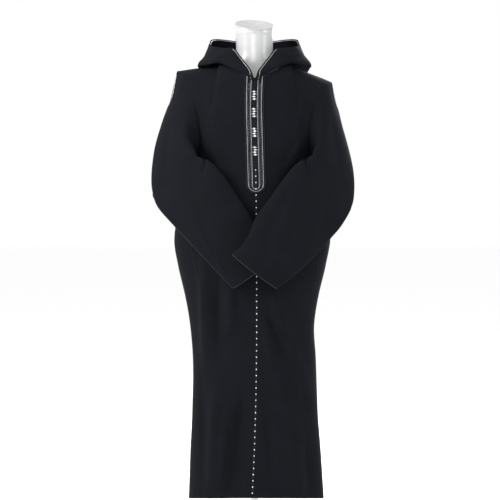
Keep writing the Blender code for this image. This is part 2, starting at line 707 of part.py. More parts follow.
def make_robe(wool, silver, white):
    """Every piece of the robe."""
    halves = {
        (side, front): half_panel(sign, front)
        for side, sign in (("left", 1), ("right", -1))
        for front in (True, False)
    }
    back = np.concatenate((halves["left", False][:, ::-1], halves["right", False][:, 1:]), 1)
    fronts_and_backs = [halves[side, front] for side in ("left", "right") for front in (True, False)]
    patches = {
        "front_left": Patch(halves["left", True], "top first last"),
        "front_right": Patch(halves["right", True], "top first last", outward=-1),
        "back": Patch(back, "top first last"),
        "hood": Patch(hood_grid(*fronts_and_backs), "bottom", gap=CREASE_GAP),
    }
    for side, rings, outward in (("left", SLEEVE_LEFT, -1), ("right", SLEEVE_RIGHT, 1)):
        loop = armhole_loop(halves[side, True], halves[side, False])
        patches[f"sleeve_{side}"] = Patch(sleeve_grid(loop, rings), "bottom", True, outward, CREASE_GAP)
    share_normals(list(patches.values()))
    for name, patch in patches.items():
        wall_object(name, patch, CLOTH, wool)
    for side in ("left", "right"):
        panel, sleeve = patches[f"front_{side}"], patches[f"sleeve_{side}"]
        make_placket(f"placket_{side}", panel, silver)
        make_arm_braid(f"arm_braid_{side}", panel, sleeve, silver)
        make_edge_cord(f"cuff_cord_{side}", sleeve, silver, closed=True)
        make_slit_cord(f"slit_cord_{side}", panel, silver)
    make_edge_cord("hood_cord", patches["hood"], silver)
    make_knots(patches["front_left"], white)


def main():
    for thing in list(bpy.data.objects):
        bpy.data.objects.remove(thing)
    wool = material_of("black_wool", BLACK_WOOL)
    silver = material_of("silver_braid", SILVER_BRAID)
    white = material_of("white_knot", WHITE_KNOT)
    gloss = material_of("white_gloss", WHITE_GLOSS)
    make_robe(wool, silver, white)
    make_form(gloss)
    make_neck_cap(material_of("cap_grey", CAP_GREY))
    steel = material_of("steel", STEEL)
    make_cylinder("form_pole", POLE_RADIUS, BASE_HEIGHT + SEAM_GAP, POLE_TOP, 20, steel)
    make_cylinder("form_base", BASE_RADIUS, 0.0, BASE_HEIGHT, 48, gloss, bevel=0.003)


main()
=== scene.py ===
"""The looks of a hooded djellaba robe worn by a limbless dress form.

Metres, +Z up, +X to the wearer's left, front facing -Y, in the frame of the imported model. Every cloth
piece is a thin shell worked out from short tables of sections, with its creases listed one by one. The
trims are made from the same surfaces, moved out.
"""

from __future__ import annotations

import json
import logging
import math
from dataclasses import dataclass, field
from enum import Enum

import bmesh
import bpy
import numpy as np
from mathutils import Vector, noise
from numpy.typing import NDArray
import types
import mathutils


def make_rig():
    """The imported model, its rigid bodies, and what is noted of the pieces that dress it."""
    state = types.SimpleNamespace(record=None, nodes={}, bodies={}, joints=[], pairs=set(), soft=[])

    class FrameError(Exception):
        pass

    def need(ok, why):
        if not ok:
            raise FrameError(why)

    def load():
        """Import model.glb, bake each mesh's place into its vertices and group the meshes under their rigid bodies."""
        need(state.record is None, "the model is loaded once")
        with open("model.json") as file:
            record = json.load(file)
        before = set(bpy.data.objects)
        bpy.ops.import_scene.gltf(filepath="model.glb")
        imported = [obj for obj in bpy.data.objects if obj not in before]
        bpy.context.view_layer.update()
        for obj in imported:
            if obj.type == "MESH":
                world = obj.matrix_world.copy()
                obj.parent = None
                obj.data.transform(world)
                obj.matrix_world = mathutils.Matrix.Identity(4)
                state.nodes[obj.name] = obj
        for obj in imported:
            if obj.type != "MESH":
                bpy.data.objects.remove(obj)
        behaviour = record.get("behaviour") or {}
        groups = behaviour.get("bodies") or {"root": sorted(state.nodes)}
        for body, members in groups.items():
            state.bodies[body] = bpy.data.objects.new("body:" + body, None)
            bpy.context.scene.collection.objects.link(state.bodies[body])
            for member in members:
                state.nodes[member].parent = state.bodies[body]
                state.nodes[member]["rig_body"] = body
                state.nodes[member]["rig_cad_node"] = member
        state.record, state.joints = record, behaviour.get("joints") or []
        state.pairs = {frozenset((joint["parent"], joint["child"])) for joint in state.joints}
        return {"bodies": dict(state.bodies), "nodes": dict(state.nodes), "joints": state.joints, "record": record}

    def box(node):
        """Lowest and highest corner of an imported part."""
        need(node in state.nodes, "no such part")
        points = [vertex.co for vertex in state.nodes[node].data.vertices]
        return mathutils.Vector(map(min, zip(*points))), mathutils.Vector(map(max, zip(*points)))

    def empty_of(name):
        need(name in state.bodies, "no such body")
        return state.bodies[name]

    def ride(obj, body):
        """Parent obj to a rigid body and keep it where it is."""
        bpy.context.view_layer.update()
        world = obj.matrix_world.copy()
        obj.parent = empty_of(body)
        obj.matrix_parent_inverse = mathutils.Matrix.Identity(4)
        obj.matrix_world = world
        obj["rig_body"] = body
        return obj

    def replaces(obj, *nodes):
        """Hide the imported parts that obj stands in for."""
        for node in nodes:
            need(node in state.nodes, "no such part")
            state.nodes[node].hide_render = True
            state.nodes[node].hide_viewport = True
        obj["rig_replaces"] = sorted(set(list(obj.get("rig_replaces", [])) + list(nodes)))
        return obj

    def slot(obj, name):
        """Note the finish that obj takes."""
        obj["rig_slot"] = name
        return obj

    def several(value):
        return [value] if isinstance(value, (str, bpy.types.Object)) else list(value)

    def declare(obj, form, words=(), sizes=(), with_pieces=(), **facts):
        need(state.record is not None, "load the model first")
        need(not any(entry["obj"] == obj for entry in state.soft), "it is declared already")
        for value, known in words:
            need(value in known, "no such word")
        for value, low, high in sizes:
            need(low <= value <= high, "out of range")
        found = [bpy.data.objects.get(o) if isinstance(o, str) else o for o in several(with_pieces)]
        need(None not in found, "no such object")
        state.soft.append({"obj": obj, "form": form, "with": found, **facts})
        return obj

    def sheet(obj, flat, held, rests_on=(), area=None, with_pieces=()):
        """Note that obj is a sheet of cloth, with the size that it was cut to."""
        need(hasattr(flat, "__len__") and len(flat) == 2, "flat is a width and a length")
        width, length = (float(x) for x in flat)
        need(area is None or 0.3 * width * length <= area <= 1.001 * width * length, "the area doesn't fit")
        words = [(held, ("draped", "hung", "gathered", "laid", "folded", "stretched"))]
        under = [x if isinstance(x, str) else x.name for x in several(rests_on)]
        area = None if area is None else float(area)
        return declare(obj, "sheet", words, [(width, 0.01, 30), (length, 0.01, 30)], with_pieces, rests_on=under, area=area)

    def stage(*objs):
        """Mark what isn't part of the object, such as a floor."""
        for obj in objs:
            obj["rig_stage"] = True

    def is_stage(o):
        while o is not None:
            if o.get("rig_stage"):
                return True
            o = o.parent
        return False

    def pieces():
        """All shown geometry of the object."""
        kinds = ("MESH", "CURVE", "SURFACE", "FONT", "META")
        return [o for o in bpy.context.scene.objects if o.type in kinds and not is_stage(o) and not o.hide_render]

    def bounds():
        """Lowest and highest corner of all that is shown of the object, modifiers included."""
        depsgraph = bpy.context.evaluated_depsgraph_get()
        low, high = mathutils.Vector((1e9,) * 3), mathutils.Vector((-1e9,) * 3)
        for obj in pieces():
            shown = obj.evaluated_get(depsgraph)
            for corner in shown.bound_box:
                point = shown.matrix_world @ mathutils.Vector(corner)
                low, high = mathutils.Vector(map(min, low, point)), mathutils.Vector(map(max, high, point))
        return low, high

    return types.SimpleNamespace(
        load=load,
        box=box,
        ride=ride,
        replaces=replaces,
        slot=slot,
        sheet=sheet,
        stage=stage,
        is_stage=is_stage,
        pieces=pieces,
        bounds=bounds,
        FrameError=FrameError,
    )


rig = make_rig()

Points = NDArray[np.float64]
Colour = tuple[float, float, float]
Place = tuple[float, float, float]
Faces = list[tuple[int, ...]]
Material = bpy.types.Material
Mesh = bpy.types.Mesh
Object = bpy.types.Object
Socket = bpy.types.NodeSocket

BODY = "root"  # the one body of a part with no joints
LOG = logging.getLogger("djellaba")

WOOL_THICKNESS = 0.0018
SEAM_TRIM = 0.00005  # each piece is drawn back this much from its seam line
SEAM_ALLOWANCE = 0.011  # width of the turned-in cloth behind a seam
HEM_DEPTH = 0.022
SEAM_DIP = 0.0006  # how far the cloth rolls in at a seam
SEAM_ROLL = 0.0026  # over what distance
SEAM_LAYER = 0.0012  # how much thicker the turned-in cloth makes a seam
HEM_LAYER = 0.0014  # and a hem
HEM_GROOVE = (0.0004, 0.003)  # depth and width of the line that the hem's stitches press in
EDGE_ROUNDING = 0.45  # how far a hemmed edge bulges, as a share of the thickness


# ---- Small tools


def smooth_through(keys: Points, rows: Points, at: Points) -> Points:
    """Reads rows on the smooth curve through them.

    Args:
        keys: Rising positions of the rows.
        rows: One row of values for each key.
        at: The positions to read.

    Returns:
        One row of values for each position.
    """
    keys, rows, at = np.asarray(keys, float), np.asarray(rows, float), np.asarray(at, float)
    slopes = np.gradient(rows, keys, axis=0)
    low = np.clip(np.searchsorted(keys, at, side="right") - 1, 0, len(keys) - 2)
    shape = (-1,) + (1,) * (rows.ndim - 1)
    span = (keys[low + 1] - keys[low]).reshape(shape)
    t = (at - keys[low]).reshape(shape) / span
    start = rows[low] * (2 * t**3 - 3 * t**2 + 1) + slopes[low] * span * (t**3 - 2 * t**2 + t)
    end = rows[low + 1] * (3 * t**2 - 2 * t**3) + slopes[low + 1] * span * (t**3 - t**2)
    return start + end


def ease(t: Points) -> Points:
    """Rises smoothly from 0 to 1 as t does, and stays there."""
    t = np.clip(t, 0, 1)
    return t * t * (3 - 2 * t)


def unit(vectors: Points) -> Points:
    """Each vector at length 1."""
    return vectors / np.maximum(np.linalg.norm(vectors, axis=-1, keepdims=True), 1e-12)


def finer(count: int, start: tuple[float, ...] = (), end: tuple[float, ...] = ()) -> Points:
    """Even steps from 0 to 1, with extra ones close to either end.

    Args:
        count: The number of even steps.
        start: Extra places near 0.
        end: Extra distances from 1.

    Returns:
        The places in rising order.
    """
    return np.unique(np.concatenate((np.linspace(0, 1, count + 1), start, [1 - e for e in end])))


def full_turn(sides: int) -> Points:
    """Even angles round a circle."""
    return np.linspace(0, math.tau, sides, endpoint=False)


def run_of(line: Points) -> Points:
    """How far each of a line's points is along it from the first."""
    return np.concatenate(([0], np.linalg.norm(np.diff(line, axis=0), axis=1).cumsum()))


def tube_faces(count: int, sides: int, closed: bool = False) -> Faces:
    """The faces between rings of points, with a cap on each end of an open run.

    Args:
        count: The number of rings.
        sides: The number of points in each.
        closed: Whether the last ring joins the first.

    Returns:
        The faces, which take the points ring by ring.
    """
    faces: Faces = []
    for i in range(count if closed else count - 1):
        k = (i + 1) % count
        for j in range(sides):
            m = (j + 1) % sides
            faces.append((i * sides + j, i * sides + m, k * sides + m, k * sides + j))
    if not closed:
        faces.append(tuple(range(sides))[::-1])
        faces.append(tuple(range((count - 1) * sides, count * sides)))
    return faces


def object_of(name: str, mesh: Mesh, material: Material) -> Object:
    """Links a mesh into the scene.

    Args:
        name: The object's name.
        mesh: Its mesh.
        material: Its one material.

    Returns:
        The object.
    """
    mesh.materials.append(material)
    thing = bpy.data.objects.new(name, mesh)
    bpy.context.scene.collection.objects.link(thing)
    return thing


def dress(thing: Object, slot: str, *nodes: str) -> Object:
    """Says where a piece rides, whose finish it takes and which CAD nodes it stands for.

    Args:
        thing: The piece.
        slot: The record's material slot.
        nodes: The CAD nodes that it replaces.

    Returns:
        The same piece.
    """
    if nodes:
        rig.replaces(thing, *nodes)
    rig.slot(thing, slot)
    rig.ride(thing, BODY)
    LOG.info("%s: %d faces", thing.name, len(thing.data.polygons))
    return thing


# ---- Finishes


class Bench:
    """A new material's node tree, with short calls for adding to it."""

    def __init__(self, name: str) -> None:
        """Starts the material with its Principled shader.

        Args:
            name: The material's name.
        """
        self.material = bpy.data.materials.new(name)
        self.material.use_nodes = True
        self.tree = self.material.node_tree
        self.shader = self.tree.nodes["Principled BSDF"]

    def put(self, node: bpy.types.Node, **values: float | tuple[float, ...]) -> None:
        """Sets a node's own sockets; an underscore in a name stands for a space."""
        for name, value in values.items():
            node.inputs[name.replace("_", " ")].default_value = value

    def node(self, kind: str, vector: Socket | None = None, **values: float | Place) -> bpy.types.Node:
        """Adds a node.

        Args:
            kind: Its type, without ShaderNode.
            vector: The coordinates that it takes.
            values: Its own sockets' values.

        Returns:
            The node.
        """
        node = self.tree.nodes.new(f"ShaderNode{kind}")
        self.put(node, **values)
        if vector is not None:
            self.link(vector, node.inputs["Vector"])
        return node

    def link(self, source: Socket, target: Socket) -> None:
        """Joins two sockets."""
        self.tree.links.new(source, target)

    def feed(self, colour: Socket, roughness: Socket) -> None:
        """Links the shader's colour and roughness."""
        self.link(colour, self.shader.inputs["Base Color"])
        self.link(roughness, self.shader.inputs["Roughness"])

    def coordinates(self, name: str, scale: Place) -> Socket:
        """Texture coordinates, scaled.

        Args:
            name: "Object" or "UV".
            scale: The stretch along each axis.

        Returns:
            The scaled vector.
        """
        source = self.node("TexCoord").outputs[name]
        return self.node("Mapping", source, Scale=scale).outputs["Vector"]

    def noise(self, vector: Socket, scale: float, detail: float, rough: float) -> Socket:
        """Cloudy noise.

        Args:
            vector: The coordinates.
            scale: Features per metre.
            detail: The number of finer layers.
            rough: How strong the finer layers are.

        Returns:
            The noise, from 0 to 1.
        """
        node = self.node("TexNoise", vector, Scale=scale, Detail=detail, Roughness=rough)
        return node.outputs["Fac"]

    def waves(self, vector: Socket, scale: float, direction: str, warp: float) -> Socket:
        """Even bands.

        Args:
            vector: The coordinates.
            scale: How close the bands lie.
            direction: The axis that they lie across.
            warp: How much they wander.

        Returns:
            The bands, from 0 to 1.
        """
        node = self.node("TexWave", vector, Scale=scale, Distortion=warp, Detail=1.0)
        node.bands_direction = direction
        return node.outputs["Fac"]

    def ramp(self, factor: Socket, low: tuple[float, Colour], high: tuple[float, Colour]) -> Socket:
        """Colours by a factor.

        Args:
            factor: The factor.
            low: The lower end's place and colour.
            high: The upper end's.

        Returns:
            The colour.
        """
        node = self.node("ValToRGB")
        for stop, (place, colour) in zip(node.color_ramp.elements, (low, high)):
            stop.position = place
            stop.color = (*colour, 1.0)
        self.link(factor, node.inputs["Fac"])
        return node.outputs["Color"]

    def times(self, one: Socket, other: Socket) -> Socket:
        """Two colours multiplied.

        Args:
            one: A colour.
            other: Another.

        Returns:
            Their product.
        """
        node = self.node("Mix")
        node.data_type = "RGBA"
        node.blend_type = "MULTIPLY"
        node.inputs["Factor"].default_value = 1.0
        self.link(one, node.inputs["A"])
        self.link(other, node.inputs["B"])
        return node.outputs["Result"]

    def spread(self, factor: Socket, low: float, high: float) -> Socket:
        """A factor stretched between two numbers.

        Args:
            factor: The factor, from 0 to 1.
            low: What 0 becomes.
            high: What 1 becomes.

        Returns:
            The number.
        """
        node = self.node("MapRange", To_Min=low, To_Max=high)
        self.link(factor, node.inputs["Value"])
        return node.outputs["Result"]

    def bump(self, *layers: tuple[Socket, float, float]) -> None:
        """Adds bumps to the shader, one on another.

        Args:
            layers: For each, its height, its strength and its depth in metres.
        """
        below = None
        for height, strength, depth in layers:
            node = self.node("Bump", Strength=strength, Distance=depth)
            self.link(height, node.inputs["Height"])
            if below is not None:
                self.link(below, node.inputs["Normal"])
            below = node.outputs["Normal"]
        self.link(below, self.shader.inputs["Normal"])


@dataclass(frozen=True)
class FulledWool:
    """Black wool cloth, fulled until its twill barely shows under a short nap."""

    dark: Colour = (0.0026, 0.0029, 0.0042)
    light: Colour = (0.0058, 0.0064, 0.0088)
    fibres: float = 900.0  # per metre
    twill_lines: float = 420.0
    twill_slant: float = math.radians(52)
    sheen: float = 0.008

    def material(self) -> Material:
        """The finish's node material.

        Returns:
            The new material.
        """
        bench = Bench("fulled wool")
        place = bench.coordinates("Object", (1, 1, 1))
        cut = bench.coordinates("UV", (1, 1, 1))
        strokes = bench.coordinates("UV", (1.0, 0.16, 1.0))
        nap = bench.noise(strokes, self.fibres, 3.0, 0.65)
        patches = bench.noise(place, 13.0, 4.0, 0.6)
        colour = bench.times(
            bench.ramp(nap, (0.30, self.dark), (0.72, self.light)),
            bench.ramp(patches, (0.30, (0.86, 0.86, 0.86)), (0.70, (1.14, 1.14, 1.12))),
        )
        bench.feed(colour, bench.spread(patches, 0.80, 0.94))
        bench.put(bench.shader, Sheen_Weight=self.sheen, Sheen_Roughness=0.38, Specular_IOR_Level=0.06)
        bench.put(bench.shader, Sheen_Tint=(0.72, 0.80, 1.0, 1.0))
        diagonal = bench.node("VectorRotate", cut, Angle=self.twill_slant)
        diagonal.rotation_type = "Z_AXIS"
        twill = bench.waves(diagonal.outputs["Vector"], self.twill_lines / math.tau, "X", 1.2)
        bench.bump(
            (bench.noise(place, 55.0, 3.0, 0.6), 0.35, 0.0012),
            (twill, 0.16, 0.0003),
            (nap, 0.45, 0.0004),
        )
        return bench.material


@dataclass(frozen=True)
class RibbonCloth:
    """The placket's close-woven black ribbon, with fine grey threads drawn through it."""

    dark: Colour = (0.0030, 0.0034, 0.0048)
    grey: Colour = (0.0140, 0.0150, 0.0180)
    ribs: float = 620.0  # per metre, across the ribbon
    flecks: float = 340.0

    def material(self) -> Material:
        """The finish's node material.

        Returns:
            The new material.
        """
        bench = Bench("placket ribbon")
        cut = bench.coordinates("UV", (1, 1, 1))
        ribs = bench.waves(cut, self.ribs / math.tau, "Y", 0.6)
        flecks = bench.noise(bench.coordinates("UV", (1.0, 0.45, 1.0)), self.flecks, 2.0, 0.5)
        # The rib waves also darken the colour in the hollows between the ribs: painted shade.
        colour = bench.times(
            bench.ramp(flecks, (0.50, self.dark), (0.74, self.grey)),
            bench.ramp(ribs, (0.15, (0.55, 0.55, 0.55)), (0.75, (1.0, 1.0, 1.0))),
        )
        bench.feed(colour, bench.spread(flecks, 0.62, 0.42))
        bench.put(bench.shader, Sheen_Weight=0.01, Sheen_Roughness=0.35, Specular_IOR_Level=0.08)
        bench.bump((ribs, 0.5, 0.0004), (flecks, 0.35, 0.0003))
        return bench.material


@dataclass(frozen=True)
class ThreadFinish:
    """A thread or cord: its colour, how metallic it is and how fine its filaments are."""

    name: str
    dark: Colour
    light: Colour
    metallic: float
    roughness: float
    shine: float = 0.3
    filaments: float = 2600.0  # per metre

    def material(self) -> Material:
        """The finish's node material.

        Returns:
            The new material.
        """
        bench = Bench(self.name)
        place = bench.coordinates("Object", (1, 1, 1))
        strands = bench.noise(place, self.filaments, 2.0, 0.6)
        wear = bench.noise(place, 60.0, 2.0, 0.5)
        colour = bench.times(
            bench.ramp(strands, (0.30, self.dark), (0.68, self.light)),
            bench.ramp(wear, (0.32, (0.74, 0.74, 0.76)), (0.62, (1.0, 1.0, 1.0))),
        )
        bench.feed(colour, bench.spread(strands, self.roughness - 0.1, self.roughness + 0.1))
        bench.put(bench.shader, Metallic=self.metallic, Sheen_Weight=0.01, Specular_IOR_Level=self.shine)
        bench.bump((strands, 0.4, 0.0002))
        return bench.material


@dataclass(frozen=True)
class GlossLacquer:
    """The dress form's glossy white lacquer over fibreglass."""

    shade: Colour = (0.38, 0.385, 0.38)
    light: Colour = (0.42, 0.42, 0.415)
    roughness: float = 0.30

    def material(self) -> Material:
        """The finish's node material.

        Returns:
            The new material.
        """
        bench = Bench("gloss lacquer")
        place = bench.coordinates("Object", (1, 1, 1))
        clouds = bench.noise(place, 9.0, 3.0, 0.5)
        peel = bench.noise(place, 160.0, 2.0, 0.4)
        colour = bench.ramp(clouds, (0.32, self.shade), (0.66, self.light))
        bench.feed(colour, bench.spread(peel, self.roughness - 0.04, self.roughness + 0.05))
        bench.put(bench.shader, Coat_Weight=0.35, Coat_Roughness=0.16)
        bench.bump((peel, 0.10, 0.0006), (clouds, 0.15, 0.002))
        return bench.material


@dataclass(frozen=True)
class SatinPlate:
    """The pale grey plate that closes the neck, turned on a lathe."""

    shade: Colour = (0.29, 0.29, 0.285)
    light: Colour = (0.35, 0.348, 0.345)
    rings: float = 900.0  # per metre of radius

    def material(self) -> Material:
        """The finish's node material.

        Returns:
            The new material.
        """
        bench = Bench("satin plate")
        place = bench.coordinates("Object", (1, 1, 1))
        rings = bench.node("TexWave", place, Scale=self.rings / math.tau, Distortion=0.4)
        rings.wave_type, rings.rings_direction = "RINGS", "Z"
        wear = bench.noise(place, 35.0, 4.0, 0.6)
        colour = bench.ramp(wear, (0.30, self.shade), (0.68, self.light))
        bench.feed(colour, bench.spread(wear, 0.30, 0.44))
        bench.bump((rings.outputs["Fac"], 0.12, 0.0002), (wear, 0.10, 0.0008))
        return bench.material


@dataclass(frozen=True)
class BrushedSteel:
    """The pole's steel, brushed round and round."""

    shade: Colour = (0.44, 0.44, 0.45)
    light: Colour = (0.62, 0.62, 0.62)
    scratches: float = 500.0

    def material(self) -> Material:
        """The finish's node material.

        Returns:
            The new material.
        """
        bench = Bench("brushed steel")
        streaks = bench.noise(bench.coordinates("Object", (0.05, 0.05, 1.0)), self.scratches, 3.0, 0.7)
        colour = bench.ramp(streaks, (0.25, self.shade), (0.75, self.light))
        bench.feed(colour, bench.spread(streaks, 0.24, 0.40))
        bench.put(bench.shader, Metallic=1.0)
        bench.bump((streaks, 0.15, 0.0002))
        return bench.material


class Finish(Enum):
    """Every finish of the object."""

    WOOL = FulledWool()
    RIBBON = RibbonCloth()
    SILVER = ThreadFinish("silver thread", (0.16, 0.165, 0.175), (0.52, 0.53, 0.55), 0.55, 0.42)
    GREY_BRAID = ThreadFinish("grey braid", (0.010, 0.011, 0.012), (0.036, 0.038, 0.040), 0.05, 0.60, 0.08)
    DARK_CORD = ThreadFinish("dark cord", (0.007, 0.008, 0.009), (0.022, 0.023, 0.025), 0.0, 0.60, 0.10)
    KNOT = ThreadFinish("white knot cord", (0.55, 0.55, 0.54), (0.86, 0.86, 0.85), 0.0, 0.60)
    BLACK_THREAD = ThreadFinish("black thread", (0.004, 0.004, 0.005), (0.012, 0.013, 0.016), 0.0, 0.60, 0.06)
    LACQUER = GlossLacquer()
    PLATE = SatinPlate()
    STEEL = BrushedSteel()


class Wardrobe:
    """Makes each finish's material once."""

    def __init__(self) -> None:
        """Starts with no material made."""
        self.made: dict[Finish, Material] = {}

    def of(self, finish: Finish) -> Material:
        """The material of a finish, made at the first call.

        Args:
            finish: The finish.

        Returns:
            Its material.
        """
        if finish not in self.made:
            self.made[finish] = finish.value.material()
        return self.made[finish]


@dataclass
class Maker:
    """What every sub-assembly's maker has: the wardrobe, and a way to hand over a piece."""

    wardrobe: Wardrobe

    def put(self, piece: Cloth | Bundle, finish: Finish, slot: str, *nodes: str) -> Object:
        """Builds a piece and dresses it.

        Args:
            piece: The piece.
            finish: Its finish.
            slot: The record's material slot.
            nodes: The CAD nodes that it replaces.

        Returns:
            The object.
        """
        return dress(piece.build(self.wardrobe.of(finish)), slot, *nodes)


# ---- Cloth


@dataclass(frozen=True)
class Crease:
    """A soft ridge, or with a negative height a trough, between two places on a piece.

    The places are in the piece's own two directions, in metres. The bow bends the crease sideways.
    """

    start: tuple[float, float]
    end: tuple[float, float]
    width: float
    height: float
    bow: float = 0.0

    def at(self, across: Points, along: Points) -> Points:
        """The crease's height at each place: steeper on one side, and swelling towards its middle.

        Args:
            across: The places in the first direction.
            along: The places in the second.

        Returns:
            The heights.
        """
        run = np.array(self.end) - self.start
        length = float(np.hypot(*run))
        x, y = across - self.start[0], along - self.start[1]
        t = (x * run[0] + y * run[1]) / length**2
        aside = (y * run[0] - x * run[1]) / length - self.bow * 4 * t * (1 - t)
        swell = ease((t + 0.12) / 0.42) * ease((1.12 - t) / 0.42)
        width = self.width * (0.8 + 0.4 * np.clip(t, 0, 1)) * np.where(aside > 0, 1.2, 0.82)
        return self.height * swell * np.exp(-((aside / width) ** 2))


def creases(*rows: tuple[float, ...]) -> tuple[Crease, ...]:
    """Creases from rows of their numbers: both places, width, height and, where it has one, bow."""
    return tuple(Crease(row[:2], row[2:4], *row[4:]) for row in rows)


def crease_heights(folds: tuple[Crease, ...], across: Points, along: Points) -> Points:
    """The sum of the creases' heights at each place."""
    return sum((crease.at(across, along) for crease in folds), np.zeros(np.shape(across)))


def unevenness(points: Points, stretch: Place, most: float) -> Points:
    """The small waviness of hanging wool, the same wherever two pieces share a point.

    Args:
        points: The places, in metres.
        stretch: Waves per metre in each direction.
        most: Half of the waviness's full height.

    Returns:
        A height for each place.
    """
    flat = points.reshape(-1, 3) * stretch
    heights = [noise.noise(Vector(place)) + 0.4 * noise.noise(Vector(place * 2.3)) for place in flat]
    return np.array(heights).reshape(points.shape[:-1]) * most


class Edge(Enum):
    """The four edges of a piece's grid: which line of points, the next one in, and the axis."""

    FIRST_ROW = (0, 1, 0)
    LAST_ROW = (-1, -2, 0)
    FIRST_COLUMN = (0, 1, 1)
    LAST_COLUMN = (-1, -2, 1)


@dataclass
class Cloth:
    """A piece of cloth as a grid of points on its outer side.

    side is 1 where the way across a row, crossed with the way to the next row, points outward, and -1
    where it points inward.
    """

    name: str
    node: str
    grid: Points
    side: int
    seams: tuple[Edge, ...] = ()
    hems: tuple[Edge, ...] = ()
    closed: bool = False
    thickness: float = WOOL_THICKNESS
    flat_row: int | None = None
    normals: Points = field(init=False)

    def __post_init__(self) -> None:
        """Works out the first normals."""
        self.find_normals()

    def find_normals(self) -> None:
        """Sets each point's outward direction from its neighbours."""
        down = np.gradient(self.grid, axis=0)
        if self.closed:
            across = np.roll(self.grid, -1, 1) - np.roll(self.grid, 1, 1)
        else:
            across = np.gradient(self.grid, axis=1)
        self.normals = unit(np.cross(across, down) * self.side)

    def runs(self) -> tuple[Points, Points]:
        """How far each point is down its column and across its row, along the cloth.

        Returns:
            The distances from the first row, and those from the first column.
        """
        down = np.linalg.norm(np.diff(self.grid, axis=0), axis=-1).cumsum(0)
        across = np.linalg.norm(np.diff(self.grid, axis=1), axis=-1).cumsum(1)
        return np.pad(down, ((1, 0), (0, 0))), np.pad(across, ((0, 0), (1, 0)))

    def from_edge(self, edge: Edge) -> Points:
        """How far each point is along the cloth from an edge.

        Args:
            edge: The edge.

        Returns:
            A distance for each point.
        """
        line, _, axis = edge.value
        run = self.runs()[axis]
        return run if line == 0 else np.take(run, [-1], axis) - run

    def raise_by(self, heights: Points) -> None:
        """Moves each point out, and finds the normals again, but not on the seams.

        Args:
            heights: How far out each point moves.
        """
        self.grid = self.grid + self.normals * heights[..., None]
        before = self.normals
        self.find_normals()
        for edge in self.seams:
            line, _, axis = edge.value
            if axis == 0:
                self.normals[line] = before[line]
            else:
                self.normals[:, line] = before[:, line]

    def walls(self) -> tuple[Points, Points, Points]:
        """The outer and inner sides and the soft rim between them.

        Returns:
            Three grids of points. Only the edges of the third are used.
        """
        outer = self.grid.copy()
        depth = np.full(self.grid.shape[:2], self.thickness)
        past = np.zeros_like(self.grid)
        for edge in self.seams + self.hems:
            line, inner_line, axis = edge.value
            away = unit(np.take(self.grid, line, axis) - np.take(self.grid, inner_line, axis))
            where = (line, slice(None)) if axis == 0 else (slice(None), line)
            distance = self.from_edge(edge)
            if edge in self.seams:
                outer -= self.normals * (SEAM_DIP * np.exp(-((distance / SEAM_ROLL) ** 2)))[..., None]
                depth += SEAM_LAYER * ease(1.5 - distance / SEAM_ALLOWANCE)
                outer[where] -= away * SEAM_TRIM
            else:
                depth += HEM_LAYER * ease((HEM_DEPTH - distance) / 0.002)
                groove = HEM_GROOVE[0] * np.exp(-(((distance - HEM_DEPTH) / HEM_GROOVE[1]) ** 2))
                outer -= self.normals * groove[..., None]
                past[where] += away * self.thickness * EDGE_ROUNDING
        inner = outer - self.normals * depth[..., None]
        return outer, inner, (outer + inner) / 2 + past

    def build(self, material: Material) -> Object:
        """Makes the shell, with flat lengths in metres as its UV map.

        Args:
            material: The cloth's finish.

        Returns:
            The object, linked into the scene.
        """
        outer, inner, rim = (side.reshape(-1, 3) for side in self.walls())
        rows, columns = self.grid.shape[:2]
        count = rows * columns
        number = np.arange(count).reshape(rows, columns)
        across_ends = np.roll(number, -1, 1) if self.closed else number[:, 1:]
        across_starts = number if self.closed else number[:, :-1]
        quads = np.stack(
            (across_starts[:-1], across_ends[:-1], across_ends[1:], across_starts[1:]), -1
        ).reshape(-1, 4)
        borders = [
            np.stack((across_starts[0], across_ends[0]), -1),
            np.stack((across_ends[-1], across_starts[-1]), -1),
        ]
        if not self.closed:
            borders.append(np.stack((number[:-1, -1], number[1:, -1]), -1))
            borders.append(np.stack((number[1:, 0], number[:-1, 0]), -1))
        border = np.concatenate(borders)
        if self.side < 0:
            quads, border = quads[:, ::-1], border[:, ::-1]
        a, b = border[:, 0], border[:, 1]
        lips = np.stack((b, a, a + 2 * count, b + 2 * count), -1)
        cuffs = np.stack((b + 2 * count, a + 2 * count, a + count, b + count), -1)
        faces = np.concatenate((quads, quads[:, ::-1] + count, lips, cuffs))
        mesh = bpy.data.meshes.new(self.name)
        mesh.from_pydata(np.concatenate((outer, inner, rim)), [], faces)
        self.lay_flat(mesh, faces, count)
        keep_used_points(mesh)
        mesh.shade_smooth()
        mesh.set_sharp_from_angle(angle=math.radians(60))
        return object_of(self.name, mesh, material)

    def lay_flat(self, mesh: Mesh, faces: Points, count: int) -> None:
        """Writes each corner's place on the flat cloth to the mesh's UV map.

        Args:
            mesh: The shell's mesh.
            faces: Its faces.
            count: The number of the grid's points.
        """
        down, across = self.runs()
        flat = np.stack((across, np.broadcast_to(down.mean(1, keepdims=True), across.shape)), -1)
        corner = faces.reshape(-1) % count
        uv = flat.reshape(-1, 2)[corner].reshape(-1, 4, 2)
        if self.closed:
            # The last cell of each ring ends at the full width, not back at 0.
            width = uv[:, :, 0].max()
            wraps = uv[:, :, 0].max(1) - uv[:, :, 0].min(1) > width / 2
            uv[wraps, :, 0] = np.where(uv[wraps, :, 0] < width / 4, width, uv[wraps, :, 0])
        layer = mesh.uv_layers.new(name="cut")
        layer.data.foreach_set("uv", uv.reshape(-1).astype(np.float32))

